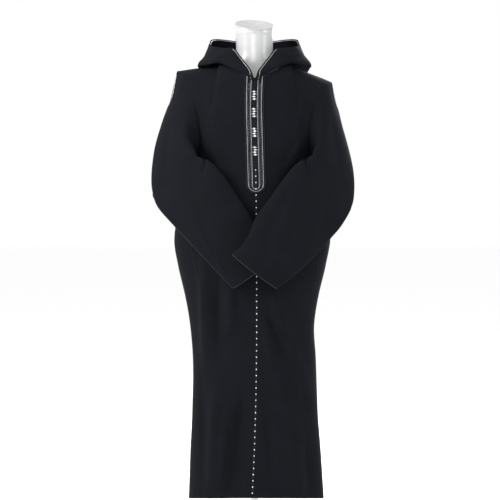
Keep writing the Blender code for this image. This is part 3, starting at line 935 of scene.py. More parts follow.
    def flat_cut(self) -> tuple[float, float, float]:
        """The rectangle that the piece is cut from, and the area of the piece itself.

        Returns:
            Its width, its length and the piece's area, in metres.
        """
        down, across = self.runs()
        widths = across[:, -1]
        if self.closed:
            widths = widths + np.linalg.norm(self.grid[:, 0] - self.grid[:, -1], axis=-1)
        ring = np.concatenate((self.grid, self.grid[:, :1]), 1) if self.closed else self.grid
        one = ring[1:, 1:] - ring[:-1, :-1]
        other = ring[1:, :-1] - ring[:-1, 1:]
        area = float(np.linalg.norm(np.cross(one, other), axis=-1).sum()) / 2
        width = float(widths.max() if self.flat_row is None else widths[self.flat_row])
        length = float(down[-1].max())
        return width, length, min(area, width * length)

    def at(self, row: float, column: float) -> tuple[Points, Points]:
        """Reads a place between the grid's points.

        Args:
            row: The row.
            column: The column.

        Returns:
            The point and the outward direction.
        """
        i = int(min(row, len(self.grid) - 2))
        j = int(min(column, self.grid.shape[1] - 2))
        u, v = row - i, column - j
        shares = ((0, 0, (1 - u) * (1 - v)), (0, 1, (1 - u) * v), (1, 0, u * (1 - v)), (1, 1, u * v))
        point = sum(self.grid[i + m, j + n] * share for m, n, share in shares)
        out = sum(self.normals[i + m, j + n] * share for m, n, share in shares)
        return point, unit(out)

    def place(self, across: float, z: float) -> tuple[float, float]:
        """Finds a place on the cloth.

        Args:
            across: The distance sideways from the first column.
            z: The height.

        Returns:
            The row and the column.
        """
        heights = self.grid[:, 0, 2]
        row = float(np.interp(z, heights, np.arange(len(heights))))
        for _ in range(3):
            i = int(min(row, len(self.grid) - 2))
            line = self.grid[i] * (1 - row + i) + self.grid[i + 1] * (row - i)
            spread = np.abs(line[:, 0] - line[0, 0])
            column = float(np.interp(across, spread, np.arange(len(spread))))
            j = int(min(column, self.grid.shape[1] - 2))
            heights = self.grid[:, j, 2] * (1 - column + j) + self.grid[:, j + 1, 2] * (column - j)
            row = float(np.interp(z, heights, np.arange(len(heights))))
        return row, column


def keep_used_points(mesh: Mesh) -> None:
    """Deletes the mesh's points that no face uses.

    Args:
        mesh: The mesh.
    """
    used = np.zeros(len(mesh.vertices), bool)
    corners = np.empty(len(mesh.loops), np.int32)
    mesh.loops.foreach_get("vertex_index", corners)
    used[corners] = True
    shape = bmesh.new()
    shape.from_mesh(mesh)
    shape.verts.ensure_lookup_table()
    spare = [shape.verts[i] for i in np.flatnonzero(~used)]
    bmesh.ops.delete(shape, geom=spare, context="VERTS")
    shape.to_mesh(mesh)
    shape.free()


def share_normals(pieces: list[Cloth]) -> None:
    """Gives pieces the same normals where a seam runs on smoothly.

    Where two pieces turn back on each other, as under the arm, each keeps its own.

    Args:
        pieces: The pieces that meet.
    """
    met: dict[tuple[int, ...], list[Points]] = {}
    places: list[tuple[Cloth, int, int]] = []
    for piece in pieces:
        rows, columns = piece.grid.shape[:2]
        edge = np.zeros((rows, columns), bool)
        edge[[0, -1]] = True
        if not piece.closed:
            edge[:, [0, -1]] = True
        for i, j in np.argwhere(edge):
            places.append((piece, i, j))
            key = tuple(np.round(piece.grid[i, j] * 2e5).astype(int))
            met.setdefault(key, []).append(piece.normals[i, j].copy())
    merged = []
    for piece, i, j in places:
        own = piece.normals[i, j]
        others = met[tuple(np.round(piece.grid[i, j] * 2e5).astype(int))]
        merged.append(sum(other * min(max(1.5 * float(own @ other), 0.0), 1.0) for other in others))
    for (piece, i, j), total in zip(places, merged):
        piece.normals[i, j] = unit(total)


# ---- The robe's cut


@dataclass
class BodyCut:
    """The sections of the robe's fronts and back, from the hem to the shoulders."""

    underarm_z: float = 1.175
    throat: Place = (0.0, -0.137, 1.425)
    nape: Place = (0.0, 0.100, 1.488)
    neck_point: Place = (0.115, 0.012, 1.487)
    shoulder_tip: Place = (0.247, 0.0, 1.462)
    shoulder_raise: tuple[float, float] = (0.006, -0.030)  # of the wearer's right and left
    hem_lift: float = 0.024  # how much higher the front's hem hangs at its centre
    hem_lift_reach: float = 0.5
    neck_share: float = 6 / 9  # how much of the top row is neckline
    # height, half widths to the wearer's right and left, depth of front and back, depth of the side
    skirt: tuple[tuple[float, ...], ...] = (
        (0.1, 0.211, 0.222, -0.118, 0.132, 0.0),
        (0.25, 0.206, 0.213, -0.114, 0.128, 0.004),
        (0.4, 0.2, 0.203, -0.113, 0.124, 0.008),
        (0.55, 0.197, 0.196, -0.116, 0.122, 0.01),
        (0.65, 0.206, 0.191, -0.121, 0.121, 0.01),
        (0.75, 0.223, 0.206, -0.129, 0.121, 0.01),
        (0.85, 0.245, 0.229, -0.136, 0.121, 0.012),
        (0.93, 0.257, 0.243, -0.139, 0.121, 0.018),
        (1.0, 0.248, 0.239, -0.14, 0.121, 0.024),
        (1.07, 0.22, 0.216, -0.138, 0.12, 0.018),
        (1.13, 0.197, 0.196, -0.135, 0.119, 0.006),
        (1.175, 0.184, 0.184, -0.133, 0.118, -0.005),
    )
    # rise, sideways, front, back, share of the height up to the shoulder tip
    armhole: tuple[tuple[float, ...], ...] = (
        (0.0, 0.184, -0.005, -0.005, 0.0),
        (0.15, 0.175, -0.052, 0.045, 0.073),
        (0.3, 0.17, -0.08, 0.07, 0.24),
        (0.5, 0.176, -0.093, 0.082, 0.488),
        (0.7, 0.198, -0.083, 0.074, 0.742),
        (0.86, 0.226, -0.05, 0.046, 0.923),
        (1.0, 0.247, 0.0, 0.0, 1.0),
    )
    # how far the centre seam wanders sideways on its way down: height, distance
    drift: tuple[tuple[float, float], ...] = (
        (0.1, -0.009), (0.27, -0.001), (0.4, 0.003), (0.58, 0.006), (0.82, 0.006),
        (1.1, 0.004), (1.25, 0.0), (1.36, -0.0022), (1.42, 0.0),
    )
    front_folds: tuple[Crease, ...] = creases(
        (0.045, 0.78, 0.105, 0.62, 0.02, 0.0182), (0.105, 0.62, 0.155, 0.43, 0.022, 0.0205),
        (0.02, 0.66, 0.065, 0.53, 0.016, 0.0137), (0.065, 0.5, 0.13, 0.33, 0.02, 0.0137),
        (-0.16, 0.86, -0.15, 0.52, 0.022, 0.0205), (-0.078, 0.78, -0.075, 0.64, 0.018, 0.0137),
        (-0.037, 0.46, -0.07, 0.12, 0.026, -0.0182), (-0.12, 0.48, -0.14, 0.11, 0.026, 0.016),
        (0.11, 0.33, 0.14, 0.11, 0.028, 0.016),
        (0.04, 0.7, 0.08, 0.56, 0.01, -0.0079, 0.004), (0.125, 0.56, 0.165, 0.4, 0.011, -0.0091, -0.004),
        (0.035, 0.4, 0.05, 0.18, 0.014, -0.0079, 0.003), (0.16, 0.3, 0.175, 0.11, 0.014, -0.0091),
        (-0.11, 0.82, -0.112, 0.56, 0.013, -0.0079, -0.003),
        (-0.17, 0.5, -0.165, 0.14, 0.014, -0.0091, 0.004),
        (-0.085, 0.42, -0.105, 0.13, 0.012, 0.0069, -0.003), (0.15, 1.2, 0.085, 1.09, 0.013, -0.0079, 0.006),
        (0.14, 1.24, 0.1, 1.16, 0.01, 0.0057, 0.004), (-0.15, 1.2, -0.09, 1.08, 0.013, -0.0079, -0.006),
        (-0.15, 1.4, -0.125, 1.27, 0.016, 0.0069), (0.15, 1.4, 0.135, 1.26, 0.014, 0.0069),
    )
    back_folds: tuple[Crease, ...] = creases(
        (0.0, 0.9, 0.01, 0.11, 0.034, -0.0121), (0.085, 1.22, 0.11, 0.11, 0.032, 0.0162),
        (-0.08, 1.24, -0.1, 0.11, 0.032, 0.0162), (0.16, 0.96, 0.165, 0.3, 0.024, -0.0108),
        (-0.165, 0.94, -0.16, 0.26, 0.024, -0.0108),
        (0.045, 1.0, 0.058, 0.3, 0.014, -0.0054, 0.006), (-0.045, 0.92, -0.052, 0.2, 0.013, -0.0054, -0.005),
        (0.13, 0.7, 0.14, 0.15, 0.014, 0.0054, 0.004), (-0.13, 0.76, -0.138, 0.2, 0.014, 0.0054, -0.004),
        (0.02, 0.5, 0.03, 0.12, 0.012, 0.0041), (-0.022, 0.62, -0.018, 0.18, 0.011, 0.0041),
        (0.15, 1.24, 0.09, 1.13, 0.014, -0.0047, -0.006), (-0.15, 1.24, -0.088, 1.12, 0.014, -0.0047, 0.006),
    )
    share: Points = field(default_factory=lambda: finer(54, (0.004, 0.010), (0.010, 0.004)))
    rise: Points = field(default_factory=lambda: finer(64, (), (0.012, 0.005)))
    skirt_steps: Points = field(default_factory=lambda: finer(190, (0.002, 0.004, 0.018, 0.0195, 0.021)))

    def skirt_rows(self, sign: int, front: bool) -> Points:
        """The rows of half a panel below the underarm, each from the centre to the side.

        Args:
            sign: 1 for the wearer's left and -1 for the right.
            front: Whether the half is of a front.

        Returns:
            The grid of points, from the hem up.
        """
        hem = self.skirt[0][0]
        z = hem + (self.underarm_z - hem) * self.skirt_steps**0.9
        table = np.array(self.skirt)
        section = smooth_through(table[:, 0], table[:, 1:], z)
        half = section[:, 1 if sign > 0 else 0, None]
        depth = section[:, 2 if front else 3, None]
        side_y = section[:, 4, None]
        turn = math.pi / 2 * self.share[None]
        x = sign * half * np.sin(turn)
        y = side_y + (depth - side_y) * np.maximum(np.cos(turn), 0) ** 0.9
        z = np.repeat(z[:, None], len(self.share), 1)
        if front:
            z = z + self.hem_lift * np.cos(turn) * np.clip(1 - (z - hem) / self.hem_lift_reach, 0, 1) ** 2
        return np.stack((x, y, z), -1)

    def neckline(self, front: bool, turn: Points) -> Points:
        """The neckline on the wearer's left.

        Args:
            front: Whether it is of a front, not the back.
            turn: Angles from the centre, 0, to the neck point.

        Returns:
            A point for each angle.
        """
        centre = self.throat if front else self.nape
        side = self.neck_point
        return np.stack(
            (
                side[0] * np.sin(turn),
                side[1] + (centre[1] - side[1]) * np.cos(turn),
                centre[2] + (side[2] - centre[2]) * np.sin(turn),
            ),
            -1,
        )

    def top_row(self, sign: int, front: bool) -> Points:
        """The neckline and then the shoulder seam, from the centre to the shoulder tip.

        Args:
            sign: 1 for the wearer's left and -1 for the right.
            front: Whether it is of a front, not the back.

        Returns:
            The row's points.
        """
        neck = self.neckline(front, math.pi / 2 * np.minimum(self.share / self.neck_share, 1))
        along = np.clip((self.share - self.neck_share) / (1 - self.neck_share), 0, 1)[:, None]
        tip = np.array(self.shoulder_tip) + (0, 0, self.raised(sign))
        return (neck + (tip - self.neck_point) * along) * (sign, 1, 1)

    def raised(self, sign: int) -> float:
        """How far the shoulder tip is raised on the wearer's left, 1, or right, -1."""
        return self.shoulder_raise[1 if sign > 0 else 0]

    def armhole_edge(self, sign: int, front: bool, rise: Points) -> Points:
        """A panel's edge round the armhole.

        Args:
            sign: 1 for the wearer's left and -1 for the right.
            front: Whether it is of a front, not the back.
            rise: Places from the underarm, 0, to the shoulder tip, 1.

        Returns:
            A point for each place.
        """
        table = np.array(self.armhole)
        x, y, climb = smooth_through(table[:, 0], table[:, [1, 2 if front else 3, 4]], rise).T
        z = self.underarm_z + (self.shoulder_tip[2] - self.underarm_z) * climb
        return np.stack((sign * x, y, z + self.raised(sign) * climb**3), -1)

    def chest_rows(self, sign: int, front: bool, low: Points) -> Points:
        """The rows of half a panel from the underarm row to the top row.

        Args:
            sign: 1 for the wearer's left and -1 for the right.
            front: Whether the half is of a front.
            low: The underarm row.

        Returns:
            The grid of points.
        """
        top = self.top_row(sign, front)
        rise = self.rise[:, None]
        share = self.share[None]
        climb = np.sin(math.pi / 2 * rise)
        x = low[:, 0] + (top[:, 0] - low[:, 0]) * ease(rise)
        y = top[:, 1] + (low[:, 1] - top[:, 1]) * np.maximum(1 - climb**2.4, 0) ** (1 / 2.4)
        z = low[:, 2] + (top[:, 2] - low[:, 2]) * climb
        # Each row is then fitted to its end on the armhole, keeping its own shape.
        end = self.armhole_edge(sign, front, self.rise)
        x = x + (end[:, :1] - x[:, -1:]) * share ** (2 + 3 * rise)
        y = y[:, :1] + (y - y[:, :1]) * (end[:, 1:2] - y[:, :1]) / (y[:, -1:] - y[:, :1])
        z = z + (end[:, 2:] - z[:, -1:]) * share**3
        return np.stack((x, y, z), -1)

    def half_panel(self, sign: int, front: bool) -> Points:
        """Half a panel, smooth as yet.

        Args:
            sign: 1 for the wearer's left and -1 for the right.
            front: Whether it is of a front, not the back.

        Returns:
            The grid, from the hem to the shoulder, and from the centre out.
        """
        skirt = self.skirt_rows(sign, front)
        chest = self.chest_rows(sign, front, skirt[-1])
        grid = np.concatenate((skirt, chest[1:]))
        if front:
            table = np.array(self.drift)
            wander = smooth_through(table[:, 0], table[:, 1], np.clip(grid[:, 0, 2], 0.1, 1.42))
            grid[..., 0] += wander[:, None] * np.cos(math.pi / 2 * self.share[None]) ** 2
        return grid

    def relief(self, grid: Points, front: bool) -> Points:
        """The creases of a panel, dying out at its side seams.

        Args:
            grid: The panel's points.
            front: Whether it is of a front, not the back.

        Returns:
            How far each point is raised.
        """
        x, z = grid[..., 0], grid[..., 2]
        heights = crease_heights(self.front_folds if front else self.back_folds, x, z)
        share = self.share if grid.shape[1] == len(self.share) else np.concatenate(
            (self.share[::-1], self.share[1:])
        )
        fade = np.maximum(np.cos(math.pi / 2 * share), 0) ** 0.5
        top = ease((len(grid) - 1 - np.arange(len(grid))) / 14)
        return heights * fade[None] * top[:, None]


@dataclass
class SleeveCut:
    """One sleeve's rings, from the armhole to the cuff."""

    name: str
    sign: int
    # outer edge, inner edge, reach to the front, share of that reach behind
    rings: tuple[tuple[Place, Place, Place, float], ...]
    folds: tuple[Crease, ...]
    fade: tuple[float, ...] = (0.55, 0.25, 0.08)  # how much of the armhole's shape the first rings keep
    girth: float = 0.44  # the scale of the creases' first direction
    ring_step: float = 0.055  # and of their second
    steps_per_ring: int = 9

    def turns(self, rise: Points) -> Points:
        """The angle of each column, from the underarm up the front and down the back."""
        return np.concatenate((math.pi * rise, 2 * math.pi - math.pi * rise[1:-1][::-1]))

    def grid(self, body: BodyCut) -> Points:
        """The sleeve, ring by ring.

        Args:
            body: The cut of the fronts and back.

        Returns:
            The grid, its first row on the armhole itself.
        """
        rise = body.rise
        turn = self.turns(rise)
        up = body.armhole_edge(self.sign, True, rise)
        down = body.armhole_edge(self.sign, False, rise)
        loop = np.concatenate((up, down[1:-1][::-1]))
        outer, inner, front, back_share = (np.array([ring[i] for ring in self.rings]) for i in range(4))
        middle, reach = (outer + inner) / 2, (outer - inner) / 2
        forward = np.sin(turn)[None]
        forward = np.where(forward < 0, forward * back_share[:, None], forward)
        even = (
            middle[:, None]
            - np.cos(turn)[None, :, None] * reach[:, None]
            + forward[:, :, None] * front[:, None]
        )
        loop_middle, loop_reach = (up[-1] + up[0]) / 2, (up[-1] - up[0]) / 2
        half_way = np.array([0.5])
        depth = body.armhole_edge(self.sign, True, half_way) - body.armhole_edge(self.sign, False, half_way)
        own = (
            loop
            - loop_middle
            + np.cos(turn)[:, None] * loop_reach
            - np.sin(turn)[:, None] * depth / 2
        )
        for ring, keep in enumerate(self.fade):
            even[ring] += own * keep
        rings = np.concatenate((loop[None], even))
        keys = np.arange(len(rings), dtype=float)
        steps = finer((len(rings) - 1) * self.steps_per_ring, (0.002, 0.005), (0.031, 0.029, 0.004, 0.002))
        return smooth_through(keys, rings, keys[-1] * steps)

    def relief(self, grid: Points, rise: Points) -> Points:
        """The sleeve's creases, none at the armhole.

        Args:
            grid: The sleeve's points.
            rise: The places of its columns up the armhole.

        Returns:
            How far each point is raised.
        """
        around = self.turns(rise) / math.tau * self.girth
        last = len(self.rings)
        along = np.linspace(0, last * self.ring_step, len(grid))
        across, down = np.broadcast_arrays(around[None], along[:, None])
        heights = sum(
            crease_heights(self.folds, across + shift, down)
            for shift in (-self.girth, 0.0, self.girth)
        )
        return heights * ease(along / 0.05)[:, None] * ease((last * self.ring_step - along) / 0.03)[:, None]


LEFT_RINGS = (
    ((0.262, 0.0, 1.362), (0.198, -0.03, 1.172), (-0.006, -0.088, 0.02), 1.0),
    ((0.277, 0.0, 1.308), (0.192, -0.056, 1.169), (-0.016, -0.087, 0.024), 1.0),
    ((0.293, -0.005, 1.244), (0.185, -0.082, 1.17), (-0.028, -0.08, 0.026), 1.0),
    ((0.305, -0.015, 1.173), (0.176, -0.104, 1.174), (-0.038, -0.074, 0.02), 0.95),
    ((0.308, -0.036, 1.09), (0.163, -0.128, 1.178), (-0.044, -0.062, 0.006), 0.85),
    ((0.3, -0.064, 1.026), (0.15, -0.146, 1.178), (-0.04, -0.05, -0.004), 0.75),
    ((0.271, -0.096, 0.976), (0.124, -0.16, 1.161), (-0.028, -0.042, -0.01), 0.65),
    ((0.234, -0.128, 0.933), (0.088, -0.172, 1.12), (-0.018, -0.036, -0.012), 0.6),
    ((0.196, -0.155, 0.893), (0.047, -0.187, 1.062), (-0.011, -0.032, -0.012), 0.55),
    ((0.155, -0.178, 0.854), (0.007, -0.201, 1.007), (-0.008, -0.028, -0.01), 0.55),
    ((0.12, -0.193, 0.824), (-0.015, -0.211, 0.957), (-0.005, -0.024, -0.008), 0.6),
    ((0.095, -0.202, 0.802), (-0.041, -0.217, 0.915), (-0.003, -0.021, -0.006), 0.7),
    ((0.07, -0.208, 0.785), (-0.068, -0.222, 0.891), (-0.002, -0.019, -0.004), 0.85),
)
RIGHT_RINGS = (
    ((-0.27, 0.0, 1.372), (-0.197, -0.03, 1.172), (0.006, -0.088, 0.02), 1.0),
    ((-0.293, 0.0, 1.314), (-0.192, -0.056, 1.169), (0.016, -0.087, 0.024), 1.0),
    ((-0.312, -0.005, 1.244), (-0.185, -0.082, 1.17), (0.028, -0.08, 0.026), 1.0),
    ((-0.32, -0.015, 1.173), (-0.176, -0.104, 1.174), (0.038, -0.074, 0.02), 0.95),
    ((-0.32, -0.036, 1.096), (-0.163, -0.126, 1.178), (0.044, -0.06, 0.006), 0.85),
    ((-0.304, -0.062, 1.035), (-0.15, -0.14, 1.178), (0.04, -0.046, -0.004), 0.75),
    ((-0.262, -0.092, 0.988), (-0.124, -0.149, 1.161), (0.028, -0.038, -0.01), 0.65),
    ((-0.216, -0.118, 0.939), (-0.088, -0.154, 1.12), (0.018, -0.031, -0.012), 0.6),
    ((-0.169, -0.136, 0.889), (-0.05, -0.157, 1.062), (0.011, -0.026, -0.011), 0.55),
    ((-0.134, -0.147, 0.853), (-0.012, -0.159, 1.007), (0.008, -0.021, -0.008), 0.5),
    ((-0.106, -0.153, 0.824), (0.018, -0.161, 0.96), (0.005, -0.018, -0.006), 0.5),
    ((-0.086, -0.157, 0.802), (0.045, -0.163, 0.922), (0.003, -0.016, -0.005), 0.6),
    ((-0.068, -0.16, 0.784), (0.07, -0.164, 0.886), (0.002, -0.015, -0.004), 0.75),
)
# Round the sleeve from the underarm, 0, over the front to the outer edge, 0.22, and along it.
LEFT_CREASES = creases(
    (0.03, 0.15, 0.11, 0.24, 0.012, -0.0045, 0.006), (0.02, 0.2, 0.09, 0.3, 0.011, -0.0045, 0.005),
    (0.015, 0.25, 0.08, 0.36, 0.012, 0.0035, 0.004), (0.06, 0.4, 0.11, 0.62, 0.014, -0.003, 0.006),
    (0.12, 0.33, 0.165, 0.52, 0.014, 0.003, -0.006), (0.1, 0.06, 0.13, 0.2, 0.016, 0.0035),
    (0.16, 0.1, 0.17, 0.26, 0.016, -0.003), (0.3, 0.1, 0.32, 0.3, 0.018, -0.0045, 0.006),
    (0.36, 0.08, 0.35, 0.26, 0.016, 0.004, -0.006), (0.27, 0.22, 0.3, 0.38, 0.014, 0.004),
)
RIGHT_CREASES = creases(
    (0.025, 0.16, 0.1, 0.25, 0.012, -0.0045, 0.005), (0.02, 0.22, 0.085, 0.32, 0.011, -0.004, 0.006),
    (0.05, 0.12, 0.125, 0.19, 0.013, 0.0035, 0.004), (0.11, 0.3, 0.165, 0.52, 0.013, -0.003, 0.006),
    (0.14, 0.38, 0.18, 0.6, 0.012, 0.0025, -0.004), (0.11, 0.05, 0.12, 0.19, 0.016, 0.0035),
    (0.165, 0.12, 0.175, 0.28, 0.015, -0.003), (0.31, 0.08, 0.33, 0.28, 0.018, -0.0045, -0.006),
    (0.37, 0.1, 0.36, 0.28, 0.016, 0.004, 0.006), (0.28, 0.2, 0.31, 0.4, 0.014, 0.004),
)


@dataclass
class HoodCut:
    """The hood's stations round the wearer's left half, from the throat to the nape.

    Each has the hood's edge, and the reaches that shape its fall: over the shoulder, down from the
    neckline, and up from under the edge.
    """

    stations: tuple[tuple[tuple[float, float, float], ...], ...] = (
        ((0.0032, -0.14, 1.432), (0.001, -0.001, 0.002), (0.001, -0.002, 0.004), (0.001, -0.001, -0.002)),
        ((0.0118, -0.134, 1.456), (0.003, -0.006, 0.003), (-0.004, -0.008, 0.008), (0.005, -0.005, -0.005)),
        ((0.0262, -0.121, 1.477), (0.009, -0.017, 0.003), (0.0, -0.021, 0.011), (0.012, -0.012, -0.011)),
        ((0.0445, -0.107, 1.502), (0.012, -0.018, 0.006), (0.008, -0.028, 0.004), (0.023, -0.021, -0.018)),
        ((0.064, -0.095, 1.528), (0.021, -0.023, 0.009), (0.018, -0.04, -0.008), (0.03, -0.026, -0.026)),
        ((0.095, -0.082, 1.531), (0.042, -0.025, 0.011), (0.05, -0.047, -0.028), (0.042, -0.023, -0.038)),
        ((0.126, -0.054, 1.539), (0.074, -0.012, 0.005), (0.08, -0.034, -0.034), (0.042, 0.003, -0.042)),
        ((0.141, -0.008, 1.548), (0.075, 0.015, 0.001), (0.08, -0.005, -0.034), (0.036, 0.009, -0.05)),
        ((0.141, 0.045, 1.571), (0.066, 0.045, 0.004), (0.084, 0.052, -0.06), (0.034, 0.04, -0.1)),
        ((0.126, 0.095, 1.582), (0.04, 0.06, 0.02), (0.068, 0.076, -0.166), (0.036, 0.08, -0.205)),
        ((0.094, 0.135, 1.585), (0.02, 0.06, 0.032), (0.05, 0.057, -0.288), (0.026, 0.082, -0.29)),
        ((0.048, 0.158, 1.582), (0.008, 0.053, 0.036), (0.025, 0.043, -0.398), (0.014, 0.08, -0.37)),
        ((0.0, 0.164, 1.58), (0.0, 0.05, 0.036), (0.0, 0.04, -0.438), (0.0, 0.076, -0.4)),
    )
    # Round the hood in stations / 100 from the wearer's left side of the throat, and up it from 0 to 0.3.
    folds: tuple[Crease, ...] = creases(
        (0.085, 0.06, 0.105, 0.26, 0.005, 0.0035), (0.155, 0.06, 0.135, 0.26, 0.005, 0.0035),
        (0.1, 0.08, 0.116, 0.24, 0.004, -0.004), (0.14, 0.08, 0.124, 0.24, 0.004, -0.004),
        (0.04, 0.12, 0.075, 0.23, 0.01, 0.003), (0.2, 0.12, 0.165, 0.23, 0.01, 0.003),
        (0.035, 0.2, 0.07, 0.265, 0.008, -0.0025), (0.205, 0.2, 0.17, 0.265, 0.008, -0.0025),
    )
    rows: Points = field(default_factory=lambda: finer(80, (0.006, 0.015), (0.004, 0.010)))
    columns_per_station: int = 7
    quarter: int = 6  # the station above the neck point

    def grid(self, body: BodyCut) -> Points:
        """The hood, smooth as yet.

        Args:
            body: The cut of the fronts and back.

        Returns:
            The grid, from the neckline to the hood's edge, and round from the throat and back to it.
        """
        last = len(self.stations) - 1
        place = np.linspace(0, 2 * last, 2 * last * self.columns_per_station + 1)
        near = np.minimum(place, 2 * last - place)
        front = body.neckline(True, math.pi / 2 * np.minimum(near / self.quarter, 1))
        back = body.neckline(False, math.pi / 2 * np.clip((last - near) / self.quarter, 0, 1))
        base = np.where((near <= self.quarter)[:, None], front, back)
        base = base * np.stack((np.where(place > last, -1, 1), np.ones_like(place), np.ones_like(place)), -1)
        half = np.array(self.stations)
        whole = np.concatenate((half, half[-2::-1] * (-1, 1, 1)))
        edge, over, low, high = smooth_through(np.arange(len(whole)), whole, place).transpose(1, 0, 2)
        t = self.rows[:, None, None]
        return (
            base * (1 - t) ** 4
            + (base + over) * 4 * t * (1 - t) ** 3
            + (base + low) * 6 * t**2 * (1 - t) ** 2
            + (edge + high) * 4 * t**3 * (1 - t)
            + edge * t**4
        )

    def relief(self, grid: Points) -> Points:
        """The hood's creases, none at the neckline.

        Args:
            grid: The hood's points.

        Returns:
            How far each point is raised.
        """
        across, up = np.broadcast_arrays(
            np.linspace(0, 0.24, grid.shape[1])[None], 0.3 * self.rows[:, None]
        )
        return crease_heights(self.folds, across, up) * ease(up / 0.04) * ease((0.3 - up) / 0.02)


@dataclass
class Robe(Maker):
    """The robe's wool: two fronts, a back, two sleeves and the hood."""

    body: BodyCut = field(default_factory=BodyCut)
    left: SleeveCut = field(default_factory=lambda: SleeveCut("left", 1, LEFT_RINGS, LEFT_CREASES))
    right: SleeveCut = field(default_factory=lambda: SleeveCut("right", -1, RIGHT_RINGS, RIGHT_CREASES))
    hood: HoodCut = field(default_factory=HoodCut)
    waves: Place = (11.0, 11.0, 4.5)  # per metre
    wave_height: float = 0.0017
    seat_step: float = 0.0005  # how finely the neckline is read where the hood is sewn on
    seat_rows: int = 8  # over how many of the hood's rows the fit to it fades
    pieces: dict[str, Cloth] = field(default_factory=dict)

    def lay_out(self) -> None:
        """Works out every piece's surface, with its creases."""
        body = self.body
        left_back, right_back = body.half_panel(1, False), body.half_panel(-1, False)
        whole_back = np.concatenate((left_back[:, ::-1], right_back[:, 1:]), 1)
        panels = {
            "front_left": (body.half_panel(1, True), 1),
            "front_right": (body.half_panel(-1, True), -1),
            "back": (whole_back, 1),
        }
        # Sewn along the shoulders and both sides, and hemmed at the bottom.
        seams, hems = (Edge.LAST_ROW, Edge.FIRST_COLUMN, Edge.LAST_COLUMN), (Edge.FIRST_ROW,)
        for name, (grid, side) in panels.items():
            self.pieces[name] = Cloth(f"wool_{name}", name, grid, side, seams, hems)
        # Sewn to the body at the first row, and hemmed at the last.
        seams, hems = (Edge.FIRST_ROW,), (Edge.LAST_ROW,)
        for cut, side in ((self.left, -1), (self.right, 1)):
            name = f"sleeve_{cut.name}"
            grid = cut.grid(body)
            self.pieces[name] = Cloth(f"wool_{name}", name, grid, side, seams, hems, closed=True)
        self.pieces["hood"] = Cloth("wool_hood", "hood", self.hood.grid(body), 1, seams, hems, flat_row=-1)
        self.seat_hood()
        share_normals(list(self.pieces.values()))
        for name, piece in self.pieces.items():
            heights = unevenness(piece.grid, self.waves, self.wave_height)
            piece.raise_by(heights + self.relief(name, piece))
        self.seat_hood()

    def seat_hood(self) -> None:
        """Moves the hood's first row onto the body's neckline, and the rows above it less and less."""
        hood = self.pieces["hood"]
        panels = ("front_left", "front_right", "back")
        neck = np.concatenate([resampled(self.pieces[name].grid[-1], self.seat_step) for name in panels])
        near = neck[np.linalg.norm(hood.grid[0][:, None] - neck[None], axis=2).argmin(1)]
        fade = np.maximum(0, 1 - np.arange(len(hood.grid)) / self.seat_rows) ** 2
        hood.grid = hood.grid + (near - hood.grid[0])[None] * fade[:, None, None]

    def relief(self, name: str, piece: Cloth) -> Points:
        """The heights of a piece's own creases.

        Args:
            name: The piece.
            piece: Its cloth.

        Returns:
            How far each point is raised.
        """
        if name == "hood":
            return self.hood.relief(piece.grid)
        if name.startswith("sleeve"):
            cut = self.left if name.endswith("left") else self.right
            return cut.relief(piece.grid, self.body.rise)
        return self.body.relief(piece.grid, name != "back")

    def build(self) -> None:
        """Makes the shells and declares each sheet with its flat size."""
        holds = {
            "sleeve_left": ("folded", ["wool_sleeve_right", "wool_front_left"]),
            "sleeve_right": ("folded", ["wool_front_right"]),
            "hood": ("draped", ["wool_back", "wool_front_left", "wool_front_right"]),
        }
        for name, piece in self.pieces.items():
            thing = self.put(piece, Finish.WOOL, "black_wool", piece.node)
            width, length, area = piece.flat_cut()
            LOG.info("%s: cut from %.3f x %.3f m, %.3f square metres", name, width, length, area)
            held, under = holds.get(name, ("draped", ["form_torso"]))
            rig.sheet(thing, flat=(width, length), held=held, rests_on=under, area=area)


# ---- Threads and cords


def resampled(points: Points, step: float, closed: bool = False) -> Points:
    """Points spaced evenly along a line through the given ones.

    Args:
        points: The line's points.
        step: The distance between the new ones.
        closed: Whether the line runs back to its start.

    Returns:
        The new points. A closed line's last one isn't its first again.
    """
    line = np.concatenate((points, points[:1])) if closed else np.asarray(points)
    run = run_of(line)
    count = max(2, int(round(run[-1] / step)))
    at = np.linspace(0, run[-1], count + 1)
    if closed:
        at = at[:-1]
    return np.stack([np.interp(at, run, line[:, k]) for k in range(3)], -1)


def smoothed(line: Points, times: int = 6) -> Points:
    """The line with its small corners rubbed away and its ends kept.

    Args:
        line: The line's points.
        times: How often the corners are rubbed.

    Returns:
        As many points.
    """
    for _ in range(times):
        line = np.concatenate((line[:1], (line[:-2] + 2 * line[1:-1] + line[2:]) / 4, line[-1:]))
    return line


